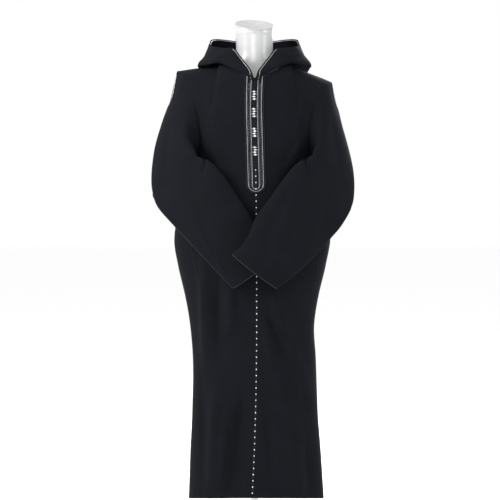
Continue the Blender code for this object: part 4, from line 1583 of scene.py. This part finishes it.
@dataclass(frozen=True)
class Cord:
    """A round cord laid up from twisted plies."""

    radius: float
    plies: int = 2
    lay: float = 0.0042  # length of one full turn
    depth: float = 0.20  # how deep the groove between plies is, as a share of the radius
    sides: int = 10
    step: float = 0.0011

    def mesh(self, path: Points, closed: bool = False, hand: int = 1) -> tuple[Points, Faces]:
        """The cord's skin along a path.

        Args:
            path: The centreline.
            closed: Whether the path runs back to its start.
            hand: 1 or -1, the way that the plies twist.

        Returns:
            The points and the faces.
        """
        line = resampled(path, self.step, closed)
        ahead = np.roll(line, -1, 0) - np.roll(line, 1, 0) if closed else np.gradient(line, axis=0)
        tangents = unit(ahead)
        across = [unit(np.cross(tangents[0], (0.3, 0.2, 0.93)))]
        for tangent in tangents[1:]:
            last = across[-1]
            across.append(unit(last - tangent * float(last @ tangent)))
        first = np.array(across)
        second = np.cross(tangents, first)
        turn = full_turn(self.sides)
        twist = hand * math.tau * np.arange(len(line)) * self.step / self.lay
        groove = 0.5 - 0.5 * np.cos(self.plies * (turn[None] - twist[:, None]))
        reach = self.radius * (1 - self.depth * groove)
        ring = first[:, None] * np.cos(turn)[None, :, None] + second[:, None] * np.sin(turn)[None, :, None]
        points = (line[:, None] + ring * reach[..., None]).reshape(-1, 3)
        return points, tube_faces(len(line), self.sides, closed)


@dataclass
class Bundle:
    """Several small meshes gathered into one piece."""

    name: str
    points: list[Points] = field(default_factory=list)
    faces: Faces = field(default_factory=list)
    count: int = 0

    def add(self, points: Points, faces: Faces) -> None:
        """Adds one mesh.

        Args:
            points: Its points.
            faces: Its faces.
        """
        self.points.append(points)
        self.faces += [tuple(number + self.count for number in face) for face in faces]
        self.count += len(points)

    def build(self, material: Material) -> Object:
        """Makes the piece.

        Args:
            material: Its finish.

        Returns:
            The object, linked into the scene.
        """
        mesh = bpy.data.meshes.new(self.name)
        mesh.from_pydata(np.concatenate(self.points), [], self.faces)
        mesh.shade_smooth()
        return object_of(self.name, mesh, material)


@dataclass(frozen=True)
class Stitch:
    """A thread that comes up out of the cloth, lies on it and goes down again."""

    radius: float = 0.00038
    sides: int = 5
    sink: float = 0.0004
    # share of the length, height and girth in radii: the ends lie at the sink's depth
    arch: tuple[tuple[float, float, float], ...] = (
        (0.0, 0.0, 0.7),
        (0.14, 0.6, 1.0),
        (0.5, 1.0, 1.08),
        (0.86, 0.6, 1.0),
        (1.0, 0.0, 0.7),
    )

    def mesh(self, start: Points, end: Points, out: Points) -> tuple[Points, Faces]:
        """One stitch between two places on the cloth.

        Args:
            start: Where it comes up.
            end: Where it goes down.
            out: The direction away from the cloth.

        Returns:
            The points and the faces.
        """
        along = unit(end - start)
        aside = np.cross(out, along)
        turn = full_turn(self.sides)
        rings = []
        for t, lift, girth in self.arch:
            middle = start + (end - start) * t + out * (lift * self.radius or -self.sink)
            reach = self.radius * girth
            rings.append(middle + (aside * np.cos(turn)[:, None] + out * np.sin(turn)[:, None]) * reach)
        return np.concatenate(rings), tube_faces(len(rings), self.sides)

    def row(self, bundle: Bundle, places: Points, outs: Points, pitch: float, length: float) -> None:
        """Adds an even row of stitches along a line on the cloth.

        Args:
            bundle: The piece that the stitches go into.
            places: The line's points.
            outs: The direction away from the cloth at each.
            pitch: The distance from one stitch to the next.
            length: The length of each.
        """
        run = run_of(places)
        for at in np.arange(pitch / 2, run[-1] - length, pitch):
            start, end = (
                np.array([np.interp(at + far, run, places[:, k]) for k in range(3)]) for far in (0, length)
            )
            out = unit(np.array([np.interp(at, run, outs[:, k]) for k in range(3)]))
            bundle.add(*self.mesh(start, end, out))


@dataclass
class EdgeTrims(Maker):
    """The cords on the hood, the sleeves, the cuffs and the side slits."""

    robe: Robe
    rim: Cord = Cord(0.00115)
    strand: Cord = Cord(0.00085, lay=0.0034, step=0.0012, sides=8)
    slit_top: float = 0.914
    slit_bottom: float = 0.764
    slit_x: float = 0.205
    slit_lean: float = 0.18
    # How many columns behind the outer edge each sleeve's braid lies, at shares of its length.
    braid_places: tuple[float, ...] = (0.00, 0.08, 0.16, 0.40, 0.50, 1.00)
    braid_behind: dict[str, tuple[float, ...]] = field(
        default_factory=lambda: {
            "left": (0.0, -5.0, 5.0, 11.0, 11.0, 10.0),
            "right": (0.0, -6.0, 5.0, 6.0, -1.5, -1.5),
        }
    )
    painted_highlight_rows: int = 11  # how many of the sleeve's rows down from the shoulder the braid is drawn in silver: painted highlight where the light catches the shoulder
    rim_drop: float = 0.0030  # how far below the rim its cord lies
    corner: int = 4  # the hood's station where its edge turns from the throat to the side

    def edge_path(self, piece: Cloth, past: float) -> Points:
        """The line just past a piece's last row, half way through its thickness.

        Args:
            piece: The piece.
            past: How far past.

        Returns:
            The line's points.
        """
        edge, before = piece.grid[-1], piece.grid[-2]
        along = np.roll(edge, -1, 0) - np.roll(edge, 1, 0) if piece.closed else np.gradient(edge, axis=0)
        along = unit(along)
        away = edge - before
        away = unit(away - along * (away * along).sum(1, keepdims=True))
        return edge - piece.normals[-1] * piece.thickness / 2 + away * past

    def build_hood_cord(self) -> None:
        """The silver cord just inside the hood's rim, which leaves it for the placket at the throat."""
        hood = self.robe.pieces["hood"]
        per = self.robe.hood.columns_per_station
        inside = hood.thickness / 2 + HEM_LAYER + self.rim.radius * 0.7
        path = self.edge_path(hood, -self.rim_drop) - hood.normals[-1] * inside
        bundle = Bundle("hood_rim_cord")
        bundle.add(*self.rim.mesh(path[self.corner * per : -self.corner * per]))
        self.put(bundle, Finish.SILVER, "silver_braid", "hood_cord")

    def build_cuff_cords(self) -> None:
        """A cord round each cuff."""
        for side in ("left", "right"):
            path = self.edge_path(self.robe.pieces[f"sleeve_{side}"], self.rim.radius * 0.8)
            bundle = Bundle(f"cuff_edge_{side}")
            bundle.add(*self.rim.mesh(path, closed=True))
            self.put(bundle, Finish.GREY_BRAID, "silver_braid", f"cuff_cord_{side}")

    def build_arm_braids(self) -> None:
        """Two mirrored strands down the sleeve's outer edge, from the shoulder to the cuff. The rows at the shoulder
        are drawn in silver and the rest of the same braid in grey, a painted highlight where the shoulder catches the
        light.
        """
        for side in ("left", "right"):
            sleeve = self.robe.pieces[f"sleeve_{side}"]
            rows = np.arange(3, len(sleeve.grid) - 1)
            behind = np.interp(rows / len(rows), self.braid_places, self.braid_behind[side])
            middle = sleeve.grid.shape[1] // 2
            spots = [sleeve.at(row, middle + columns) for row, columns in zip(rows, behind)]
            line = smoothed(np.array([point for point, _ in spots]))
            outs = np.array([out for _, out in spots])
            aside = unit(np.cross(np.gradient(line, axis=0), outs))
            # The first rows are silver, a painted highlight on the braid where it runs over the lit shoulder; the rest
            # is the braid's own grey.
            ends = (
                ("_top", slice(0, self.painted_highlight_rows), Finish.SILVER, ()),
                ("", slice(self.painted_highlight_rows - 1, None), Finish.GREY_BRAID, (f"arm_braid_{side}",)),
            )
            for end, part, finish, nodes in ends:
                bundle = Bundle(f"overarm_braid_{side}{end}")
                for hand in (1, -1):
                    path = line + outs * self.strand.radius * 0.9 + aside * hand * self.strand.radius * 0.92
                    bundle.add(*self.strand.mesh(path[part], hand=hand))
                self.put(bundle, finish, "silver_braid", *nodes)

    def build_slit_cords(self) -> None:
        """The edging of each side slit."""
        for side in ("left", "right"):
            panel = self.robe.pieces[f"front_{side}"]
            path = []
            for z in np.linspace(self.slit_top, self.slit_bottom, 40):
                lean = (self.slit_top - z) * self.slit_lean
                point, out = panel.at(*panel.place(self.slit_x - lean, z))
                path.append(point + out * self.strand.radius * 0.8)
            bundle = Bundle(f"slit_edging_{side}")
            bundle.add(*self.strand.mesh(np.array(path)))
            self.put(bundle, Finish.DARK_CORD, "silver_braid", f"slit_cord_{side}")

    def build(self) -> None:
        """Makes every edge cord."""
        self.build_hood_cord()
        self.build_cuff_cords()
        self.build_arm_braids()
        self.build_slit_cords()


@dataclass
class SeamTapes(Maker):
    """The narrow black tape sewn behind each seam, which closes its crease."""

    robe: Robe
    tape: Cord = Cord(0.0012, lay=0.02, depth=0.05, sides=6, step=0.003)
    neck_tape: Cord = Cord(0.0034, lay=0.02, depth=0.02, sides=8, step=0.003)
    depth: float = 0.0017

    def build(self) -> None:
        """Makes every tape as one piece."""
        pieces = self.robe.pieces
        seams = {
            Edge.FIRST_ROW: ("hood", "sleeve_left", "sleeve_right"),
            Edge.FIRST_COLUMN: ("front_left",),
            Edge.LAST_COLUMN: ("front_left", "front_right"),
            Edge.LAST_ROW: ("front_left", "front_right"),
        }
        bundle = Bundle("seam_tapes")
        for edge, name in ((edge, name) for edge, names in seams.items() for name in names):
            line, _, axis = edge.value
            points = np.take(pieces[name].grid, line, axis)
            outs = np.take(pieces[name].normals, line, axis)
            around = pieces[name].closed and axis == 0
            tape = self.neck_tape if name == "hood" or edge is Edge.LAST_ROW else self.tape
            behind = self.depth + tape.radius - self.tape.radius
            bundle.add(*tape.mesh(points - outs * behind, closed=around))
        self.put(bundle, Finish.BLACK_THREAD, "black_wool")


@dataclass
class Topstitching(Maker):
    """Rows of black thread beside the seams, along the hem and round the cuffs."""

    robe: Robe
    stitch: Stitch = Stitch()
    pitch: float = 0.0052
    length: float = 0.0036
    inset: float = 0.0045
    hood_inset: float = 0.012

    def along_edge(self, bundle: Bundle, piece: Cloth, edge: Edge, inset: float) -> None:
        """A row of stitches at one distance in from an edge.

        Args:
            bundle: The piece that the stitches go into.
            piece: The cloth.
            edge: Its edge.
            inset: The distance in from it.
        """
        line, _, axis = edge.value
        grid = piece.grid if axis == 0 else piece.grid.transpose(1, 0, 2)
        outs = piece.normals if axis == 0 else piece.normals.transpose(1, 0, 2)
        run = piece.from_edge(edge)
        run = run if axis == 0 else run.T
        if line < 0:
            grid, outs, run = grid[::-1], outs[::-1], run[::-1]
        places, directions = [], []
        for j in range(grid.shape[1]):
            if run[-1, j] < 2 * inset:
                continue
            i = int(np.searchsorted(run[:, j], inset)) - 1
            t = (inset - run[i, j]) / (run[i + 1, j] - run[i, j])
            places.append(grid[i, j] * (1 - t) + grid[i + 1, j] * t)
            directions.append(outs[i, j])
        if piece.closed and axis == 0:
            places.append(places[0])
            directions.append(directions[0])
        self.stitch.row(bundle, np.array(places), np.array(directions), self.pitch, self.length)

    def build(self) -> None:
        """Makes one piece of stitches for each piece of wool."""
        front = ((Edge.FIRST_ROW, HEM_DEPTH), (Edge.LAST_COLUMN, self.inset))
        sleeve = ((Edge.LAST_ROW, HEM_DEPTH),)
        rows = {
            "front_left": front,
            "front_right": front,
            "back": front[:1],
            "sleeve_left": sleeve,
            "sleeve_right": sleeve,
            "hood": ((Edge.FIRST_ROW, self.inset), (Edge.LAST_ROW, self.hood_inset)),
        }
        for name, edges in rows.items():
            bundle = Bundle(f"topstitch_{name}")
            for edge, inset in edges:
                self.along_edge(bundle, self.robe.pieces[name], edge, inset)
            self.put(bundle, Finish.BLACK_THREAD, "black_wool")


# ---- The front opening


@dataclass
class Placket(Maker):
    """The ribbon down the opening, its silver lines, the white knots and the centre seam's chain."""

    robe: Robe
    half_width: float = 0.0302
    bottom: float = 1.076
    top: float = 1.4245
    ribbon: float = 0.0012  # thickness
    lift: float = 0.0003
    lines: tuple[float, ...] = (0.0232, 0.0104)  # distances of the silver lines from the centre
    line_bottoms: tuple[float, ...] = (1.0815, 1.0880)
    throat_end: float = 4.0  # the hood's station where the inner line ends
    throat_inset: float = 0.0065  # its distance from the hood's edge
    throat_climb: float = 0.12  # the share of its run in which it reaches that
    border: float = 0.0296
    flare_from: float = 1.395  # above this the ribbon's rows rise towards the neckline
    silver: Cord = Cord(0.00080, lay=0.0030, step=0.0010, sides=8)
    piping: Cord = Cord(0.00055, lay=0.0026, step=0.0013, sides=6)
    fine: Stitch = Stitch(radius=0.00042, sides=4)
    fine_rows: tuple[tuple[float, float], ...] = ((0.0130, 0.0152), (0.0182, 0.0204))  # their edges
    fine_bottom: float = 1.098
    fine_gap: float = 0.008  # below the placket's top
    fine_pitch: float = 0.0047
    fine_rise: float = 0.0016
    zigzag: float = 0.0008  # how far each knot pulls to its own side of the seam
    knot_stand: float = 0.9  # the knots' sizes, as shares of the CAD knot's radius
    knot_size: float = 0.94
    knot_turn: float = 0.7  # the angle from one knot to the next
    loop: Cord = Cord(0.00055, lay=0.0026, step=0.0010, sides=6)
    loop_reach: float = 2.1
    loop_sag: float = 0.35
    seam: float = 1e-5  # just on the wearer's left of the seam, where the chain lies
    chain: Stitch = Stitch(radius=0.00036, sides=6)
    chain_knot: Stitch = Stitch(radius=0.0014, sides=8)
    knot_pitch: float = 0.0194
    knot_length: float = 0.0042
    knot_gap: float = 0.0004  # from a knot to the threads beside it
    chain_top: float = 1.150
    chain_bottom: float = 0.128
    thread_gap: float = 0.0006  # from the seam to where the chain's threads come up
    lozenge: float = 0.0034  # half width of the chain between two knots
    bar: float = 0.003  # half length of the two short stitches inside a lozenge

    @property
    def face(self) -> float:
        """How far the ribbon's outer face is from the wool."""
        return self.lift + self.ribbon

    def spot(self, x: float, z: float, out_by: float) -> tuple[Points, Points]:
        """A place on the fronts.

        Args:
            x: The distance from the centre seam, positive to the wearer's left.
            z: The height.
            out_by: How far out from the wool.

        Returns:
            The point and the outward direction.
        """
        panel = self.robe.pieces["front_left" if x >= 0 else "front_right"]
        point, out = panel.at(*panel.place(abs(x), z))
        return point + out * out_by, out

    def top_at(self, x: float) -> float:
        """The upper end of the placket, along the neckline.

        Args:
            x: A distance from the centre.

        Returns:
            The height there.
        """
        body = self.robe.body
        turn = math.asin(min(abs(x) / body.neck_point[0], 1.0))
        return float(body.neckline(True, np.array([turn]))[0, 2]) - 0.0006

    def u_line(self, x: float, bottom: float) -> list[tuple[float, float]]:
        """Places down one side, round the bottom and up the other side.

        Args:
            x: The half width of the line.
            bottom: The height of its lowest point.

        Returns:
            The places as distance from the centre and height.
        """
        centre = bottom + x
        down = [(-x, z) for z in np.linspace(self.top_at(x), centre, 60)]
        turn = [(-x * math.cos(a), centre - x * math.sin(a)) for a in np.linspace(0, math.pi, 19)[1:-1]]
        return down + turn + [(x, z) for _, z in down[::-1]]

    def build_ribbon(self, side: str) -> None:
        """The woven ribbon on one side of the opening, rounded at its bottom.

        Args:
            side: "left" or "right".
        """
        sign = 1 if side == "left" else -1
        panel = self.robe.pieces[f"front_{side}"]
        radius = self.half_width
        low = [self.bottom + radius * (1 - math.cos(a)) for a in np.linspace(0.25, math.pi / 2, 9)]
        heights = low + list(np.linspace(low[-1], self.top, 86)[1:])
        rows = []
        for z in heights:
            drop = max(0.0, self.bottom + radius - z)
            half = math.sqrt(max(radius**2 - drop**2, 0.0))
            rise = ease((z - self.flare_from) / (self.top - self.flare_from))
            row = []
            for x in np.linspace(0.0002, half, 13):
                height = z + (self.top_at(x) - self.top) * float(rise)
                row.append(self.spot(sign * x, height, self.face)[0])
            rows.append(row)
        cloth = Cloth(
            f"placket_ribbon_{side}",
            f"placket_{side}",
            np.array(rows),
            panel.side,
            hems=(Edge.LAST_COLUMN,),
            thickness=self.ribbon,
        )
        self.put(cloth, Finish.RIBBON, "silver_braid", cloth.node)

    def add_line(self, bundle: Bundle, cord: Cord, x: float, bottom: float, rise: float) -> None:
        """Adds a cord that runs down one side of the placket and up the other.

        Args:
            bundle: The piece that it goes into.
            cord: The cord.
            x: Its distance from the centre.
            bottom: The height of its lowest point.
            rise: The height of its middle above the ribbon, as a share of its radius.
        """
        path = [self.spot(a, z, self.face + cord.radius * rise)[0] for a, z in self.u_line(x, bottom)]
        bundle.add(*cord.mesh(np.array(path)))

    def build_lines(self) -> None:
        """The silver lines, the piping at the ribbon's edge and the fine stitches between them."""
        silver = Bundle("placket_silver_lines")
        for x, bottom in zip(self.lines, self.line_bottoms):
            self.add_line(silver, self.silver, x, bottom, 0.8)
        self.put(silver, Finish.SILVER, "silver_braid")
        piping = Bundle("placket_piping")
        self.add_line(piping, self.piping, self.border, self.bottom + 0.0006, 0.7)
        self.put(piping, Finish.GREY_BRAID, "silver_braid")
        fine = Bundle("placket_fine_stitches")
        heights = np.arange(self.fine_bottom, self.top - self.fine_gap, self.fine_pitch)
        for sign in (1, -1):
            for k, z in enumerate(heights):
                for turn, edges in enumerate(self.fine_rows):
                    low, high = edges if (k + turn) % 2 else edges[::-1]
                    a, out = self.spot(sign * low, z, self.face)
                    b, _ = self.spot(sign * high, z + self.fine_rise, self.face)
                    fine.add(*self.fine.mesh(a, b, out))
        self.put(fine, Finish.SILVER, "silver_braid")

    def build_throat_lines(self) -> None:
        """The inner silver lines, which run on over the hood beside its front edge."""
        hood = self.robe.pieces["hood"]
        per = self.robe.hood.columns_per_station
        last_row, last_column = (count - 1 for count in hood.grid.shape[:2])
        bundle = Bundle("throat_silver_lines")
        turn = math.asin(self.lines[-1] / self.robe.body.neck_point[0])
        start = turn / (math.pi / 2) * self.robe.hood.quarter
        for mirror in (False, True):
            path = []
            for t in np.linspace(0, 1, 48):
                column = (start + (self.throat_end - start) * t) * per
                column = last_column - column if mirror else column
                run = run_of(hood.grid[::-1, int(column)])
                from_edge = run[-1] + (self.throat_inset - run[-1]) * ease(t / self.throat_climb)
                back = float(np.interp(from_edge, run, np.arange(last_row + 1)))
                point, out = hood.at(last_row - back, column)
                path.append(point + out * self.silver.radius * 0.8)
            bundle.add(*self.silver.mesh(smoothed(np.array(path))))
        self.put(bundle, Finish.SILVER, "silver_braid")

    def knot_mesh(self, centre: Points, radius: float, tilt: float) -> tuple[Points, Faces]:
        """A ball of cord knotted as a Turk's head.

        Args:
            centre: The ball's middle.
            radius: Its outer radius.
            tilt: The angle that it is turned by.

        Returns:
            The points and the faces.
        """
        leads, bights = 3, 5  # the knot's turns round, and its loops up and down
        cord = Cord(radius * 0.27, lay=0.0022, step=0.0006, sides=7, depth=0.14)
        t = np.linspace(0, math.tau, 160, endpoint=False)
        latitude = 1.12 * np.sin(bights * t)
        longitude = leads * t + tilt
        reach = (radius - cord.radius) * (1 + 0.10 * np.cos(2 * bights * t + 0.6))
        path = np.stack(
            (
                reach * np.cos(latitude) * np.cos(longitude),
                reach * np.cos(latitude) * np.sin(longitude),
                reach * np.sin(latitude),
            ),
            -1,
        )
        return cord.mesh(path + centre, closed=True)

    def build_knots(self) -> None:
        """Each white knot, and the loops that hold it to the ribbon."""
        knots = sorted(
            (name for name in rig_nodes() if name.startswith("knot_")), key=lambda name: int(name[5:])
        )
        for number, name in enumerate(knots):
            low, high = (np.array(corner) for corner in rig.box(name))
            radius = float(high[2] - low[2]) / 2
            z = float(low[2] + high[2]) / 2
            aside = self.zigzag * (1 if number % 2 else -1)
            point, out = self.spot(aside, z, self.face + radius * self.knot_stand)
            bundle = Bundle(f"white_{name}")
            bundle.add(*self.knot_mesh(point, radius * self.knot_size, number * self.knot_turn))
            for sign in (1, -1):
                root = self.spot(aside + sign * radius * self.loop_reach, z, self.face + 0.0003)[0]
                bend = (point + root) / 2 - out * radius * self.loop_sag
                t = np.linspace(0, 1, 12)[:, None]
                path = point * (1 - t) ** 2 + 2 * bend * t * (1 - t) + root * t**2
                bundle.add(*self.loop.mesh(path))
            self.put(bundle, Finish.KNOT, "white_knot", name)

    def build_chain(self) -> None:
        """The hand-worked chain down the centre seam: a knot, then a lozenge of stitches, over and over."""
        white = Bundle("seam_chain_knots")
        silver = Bundle("seam_chain_stitches")
        for z in np.arange(self.chain_top, self.chain_bottom, -self.knot_pitch):
            over = self.face if z > self.bottom else 0.0002
            top, out = self.spot(self.seam, z, over)
            low, _ = self.spot(self.seam, z - self.knot_length, over)
            white.add(*self.chain_knot.mesh(top, low, out))
            end = z - self.knot_pitch
            if end < self.chain_bottom:
                continue
            middle = (z - self.knot_length + end) / 2
            for sign in (1, -1):
                waist, _ = self.spot(sign * self.lozenge, middle, over)
                first, _ = self.spot(sign * self.thread_gap, z - self.knot_length - self.knot_gap, over)
                last, _ = self.spot(sign * self.thread_gap, end + self.knot_gap, over)
                silver.add(*self.chain.mesh(first, waist, out))
                silver.add(*self.chain.mesh(waist, last, out))
                inner, _ = self.spot(sign * self.lozenge / 4, middle + self.bar, over)
                lower, _ = self.spot(sign * self.lozenge / 4, middle - self.bar, over)
                silver.add(*self.fine.mesh(inner, lower, out))
        self.put(white, Finish.KNOT, "white_knot")
        self.put(silver, Finish.GREY_BRAID, "silver_braid")

    def build(self) -> None:
        """Makes the whole opening."""
        for side in ("left", "right"):
            self.build_ribbon(side)
        self.build_lines()
        self.build_throat_lines()
        self.build_knots()
        self.build_chain()


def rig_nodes() -> list[str]:
    """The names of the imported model's nodes."""
    return [thing["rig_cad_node"] for thing in bpy.data.objects if "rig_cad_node" in thing]


# ---- The dress form


@dataclass
class DressForm(Maker):
    """The limbless form: torso and neck, the plate on the neck, the pole and the base."""

    # height, half width, half depth
    sections: tuple[tuple[float, float, float], ...] = (
        (0.79, 0.11, 0.07),
        (0.798, 0.142, 0.091),
        (0.82, 0.16, 0.098),
        (0.87, 0.17, 0.101),
        (0.94, 0.168, 0.1),
        (1.02, 0.15, 0.096),
        (1.09, 0.14, 0.09),
        (1.17, 0.147, 0.096),
        (1.26, 0.156, 0.101),
        (1.34, 0.16, 0.1),
        (1.395, 0.16, 0.092),
        (1.425, 0.146, 0.082),
        (1.445, 0.122, 0.074),
        (1.462, 0.096, 0.067),
        (1.48, 0.074, 0.061),
        (1.505, 0.061, 0.058),
        (1.55, 0.059, 0.058),
        (1.59, 0.061, 0.06),
    )
    slope_front: float = math.radians(20.5)
    slope_side: float = math.radians(3.6)
    neck_top: float = 1.612
    neck_radius: float = 0.0622
    straight_neck: float = 0.030  # below the neck's top
    lip: float = 0.0009  # rounding of the neck's top edge
    bevel: float = 0.0003  # the middle of that rounding, and the plate's lower edge
    pole_joint: float = 0.400  # the height of the fine groove where the pole's two tubes meet
    plate_gap: float = 0.0002
    plate_thickness: float = 0.004
    sides: int = 112
    steps: int = 8

    def neck_height(self, x: Points, y: Points) -> Points:
        """The height of the neck's sloping top at each place."""
        return self.neck_top + y * math.tan(self.slope_front) - x * math.tan(self.slope_side)

    def loft(self, name: str, rings: list[Points], finish: Finish, slot: str, node: str) -> None:
        """Makes a closed skin over rings of points.

        Args:
            name: The piece's name.
            rings: The rings, from the lowest up.
            finish: The piece's finish.
            slot: The record's material slot.
            node: The CAD node that it replaces.
        """
        mesh = bpy.data.meshes.new(name)
        mesh.from_pydata(np.concatenate(rings), [], tube_faces(len(rings), len(rings[0])))
        mesh.shade_smooth()
        mesh.set_sharp_from_angle(angle=math.radians(40))
        dress(object_of(name, mesh, self.wardrobe.of(finish)), slot, node)

    def sloped_ring(self, radius: float, rise: float) -> Points:
        """A ring of points along the neck's sloping top.

        Args:
            radius: Its radius.
            rise: How far above the top it lies.

        Returns:
            The points.
        """
        turn = full_turn(self.sides)
        x, y = radius * np.cos(turn), radius * np.sin(turn)
        return np.stack((x, y, self.neck_height(x, y) + rise), -1)

    def level_ring(self, half_width: float, half_depth: float, z: float) -> Points:
        """A level ring of points."""
        turn = full_turn(self.sides)
        return np.stack((half_width * np.cos(turn), half_depth * np.sin(turn), np.full(self.sides, z)), -1)

    def build_torso(self) -> None:
        """The torso and neck in one smooth skin."""
        table = np.array(self.sections)
        z = np.concatenate(
            [np.linspace(a, b, self.steps, endpoint=False) for a, b in zip(table[:, 0], table[1:, 0])]
        )
        z = z[z < self.neck_top - self.straight_neck]
        section = smooth_through(table[:, 0], table[:, 1:], z)
        rings = [self.level_ring(width, depth, height) for height, (width, depth) in zip(z, section)]
        for inset, drop in ((0.0, self.lip), (self.bevel, self.bevel), (self.lip, 0.0)):
            rings.append(self.sloped_ring(self.neck_radius - inset, -drop))
        self.loft("form_body", rings, Finish.LACQUER, "white_gloss", "form_torso")

    def build_plate(self) -> None:
        """The plate that closes the neck, with a rounded edge and a shallow dish."""
        radius, top = self.neck_radius, self.plate_thickness
        profile = (
            (radius - self.bevel, 0.0),
            (radius, self.bevel),
            (radius, top - 0.0010),
            (radius - 0.0010, top),
            (radius - 0.0050, top),
            (radius - 0.0062, top - 0.0008),
            (0.0100, top - 0.0008),
            (0.0092, top - 0.0016),
            (0.0030, top - 0.0016),
        )
        rings = [self.sloped_ring(out, self.plate_gap + up) for out, up in profile]
        self.loft("neck_plate", rings, Finish.PLATE, "cap_grey", "neck_cap")

    def build_stand(self) -> None:
        """The pole and the round base, from the CAD nodes' own sizes."""
        low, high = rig.box("form_base")
        radius, thick = float(high[0]), float(high[2])
        base = (
            (radius - 0.0025, 0.0),
            (radius - 0.0005, 0.0010),
            (radius, 0.0030),
            (radius, thick - 0.0040),
            (radius - 0.0012, thick - 0.0012),
            (radius - 0.0040, thick),
            (0.030, thick),
            (0.010, thick),
        )
        rings = [self.level_ring(out, out, z) for out, z in base]
        self.loft("base_plate", rings, Finish.LACQUER, "white_gloss", "form_base")
        low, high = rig.box("form_pole")
        tube, foot, head, joint = float(high[0]), float(low[2]), float(high[2]), self.pole_joint
        pole = (
            (tube - 0.0006, foot),
            (tube, foot + 0.0006),
            (tube, joint),
            (tube - self.bevel, joint + 0.0004),
            (tube - self.bevel, joint + 0.0012),
            (tube, joint + 0.0016),
            (tube, head - 0.0006),
            (tube - 0.0006, head),
        )
        rings = [self.level_ring(out, out, z) for out, z in pole]
        self.loft("pole", rings, Finish.STEEL, "steel", "form_pole")

    def build(self) -> None:
        """Makes the whole form."""
        self.build_torso()
        self.build_plate()
        self.build_stand()


# ---- The studio


@dataclass
class Studio:
    """The pale floor, the soft lights and the camera."""

    camera_at: Place = (-0.0144, -4.2, 1.0)
    look_at: Place = (-0.0144, 0.0, 0.897)
    lens: float = 94.5
    world: float = 1.0
    floor_shade: Colour = (0.98, 0.98, 0.98)
    floor_z: float = -0.0005
    far: float = 40.0  # how far the floor runs each way
    # place, size, power in watts and colour of each soft light
    lights: tuple[tuple[str, Place, float, float, Colour], ...] = (
        ("key", (-2.5, -1.3, 2.7), 1.3, 124.0, (1.0, 1.0, 1.0)),
        ("fill", (2.6, -1.3, 2.4), 1.6, 44.0, (0.93, 0.96, 1.0)),
        ("front", (-0.4, -2.7, 1.9), 1.2, 20.0, (1.0, 1.0, 1.0)),
        ("top", (0.0, 0.3, 3.4), 1.8, 5.0, (1.0, 1.0, 1.0)),
        ("back", (1.2, 2.7, 2.3), 1.6, 90.0, (1.0, 1.0, 1.0)),
    )

    def aim(self, thing: Object, target: Place) -> None:
        """Turns a light or camera towards a place."""
        away = Vector(target) - thing.location
        thing.rotation_euler = away.to_track_quat("-Z", "Y").to_euler()

    def build_camera(self) -> None:
        """The camera, level with the robe's middle and straight in front."""
        data = bpy.data.cameras.new("camera")
        data.lens = self.lens
        data.sensor_width = 36.0
        camera = bpy.data.objects.new("camera", data)
        camera.location = self.camera_at
        bpy.context.scene.collection.objects.link(camera)
        self.aim(camera, self.look_at)
        bpy.context.scene.camera = camera

    def build_floor(self) -> None:
        """A wide pale floor."""
        mesh = bpy.data.meshes.new("floor")
        signs = ((-1, -1), (1, -1), (1, 1), (-1, 1))
        corners = [(x * self.far, y * self.far, self.floor_z) for x, y in signs]
        mesh.from_pydata(corners, [], [(0, 1, 2, 3)])
        bench = Bench("studio floor")
        bench.put(bench.shader, Base_Color=(*self.floor_shade, 1.0), Roughness=0.9, Specular_IOR_Level=0.1)
        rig.stage(object_of("floor", mesh, bench.material))

    def build_lights(self) -> None:
        """The soft lights and the white surroundings."""
        for name, place, size, power, colour in self.lights:
            data = bpy.data.lights.new(name, "AREA")
            data.shape = "DISK"
            data.size = size
            data.energy = power
            data.color = colour
            light = bpy.data.objects.new(name, data)
            light.location = place
            bpy.context.scene.collection.objects.link(light)
            self.aim(light, (0.0, 0.0, 1.0))
        world = bpy.data.worlds.new("studio")
        world.use_nodes = True
        background = world.node_tree.nodes["Background"]
        background.inputs["Color"].default_value = (1.0, 1.0, 1.0, 1.0)
        background.inputs["Strength"].default_value = self.world
        bpy.context.scene.world = world

    def build(self) -> None:
        """Makes the whole studio."""
        bpy.context.scene.view_settings.view_transform = "Standard"
        self.build_camera()
        self.build_floor()
        self.build_lights()


# ---- The whole


def plain(bounds: tuple[Vector, Vector]) -> list[list[float]]:
    """A box's two corners as plain lists."""
    return [[float(value) for value in corner] for corner in bounds]


def main() -> None:
    """Builds the studio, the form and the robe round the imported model."""
    logging.basicConfig(level=logging.INFO, format="%(name)s %(message)s")
    for thing in list(bpy.data.objects):
        bpy.data.objects.remove(thing)
    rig.load()
    cad_box = plain(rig.bounds())
    Studio().build()
    wardrobe = Wardrobe()
    DressForm(wardrobe).build()
    robe = Robe(wardrobe)
    robe.lay_out()
    robe.build()
    for trim in (EdgeTrims, SeamTapes, Topstitching, Placket):
        trim(wardrobe, robe).build()
    with open("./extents.json", "w") as sizes:
        json.dump({"cad": cad_box, "visual": plain(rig.bounds())}, sizes)


if __name__ == "__main__":
    main()
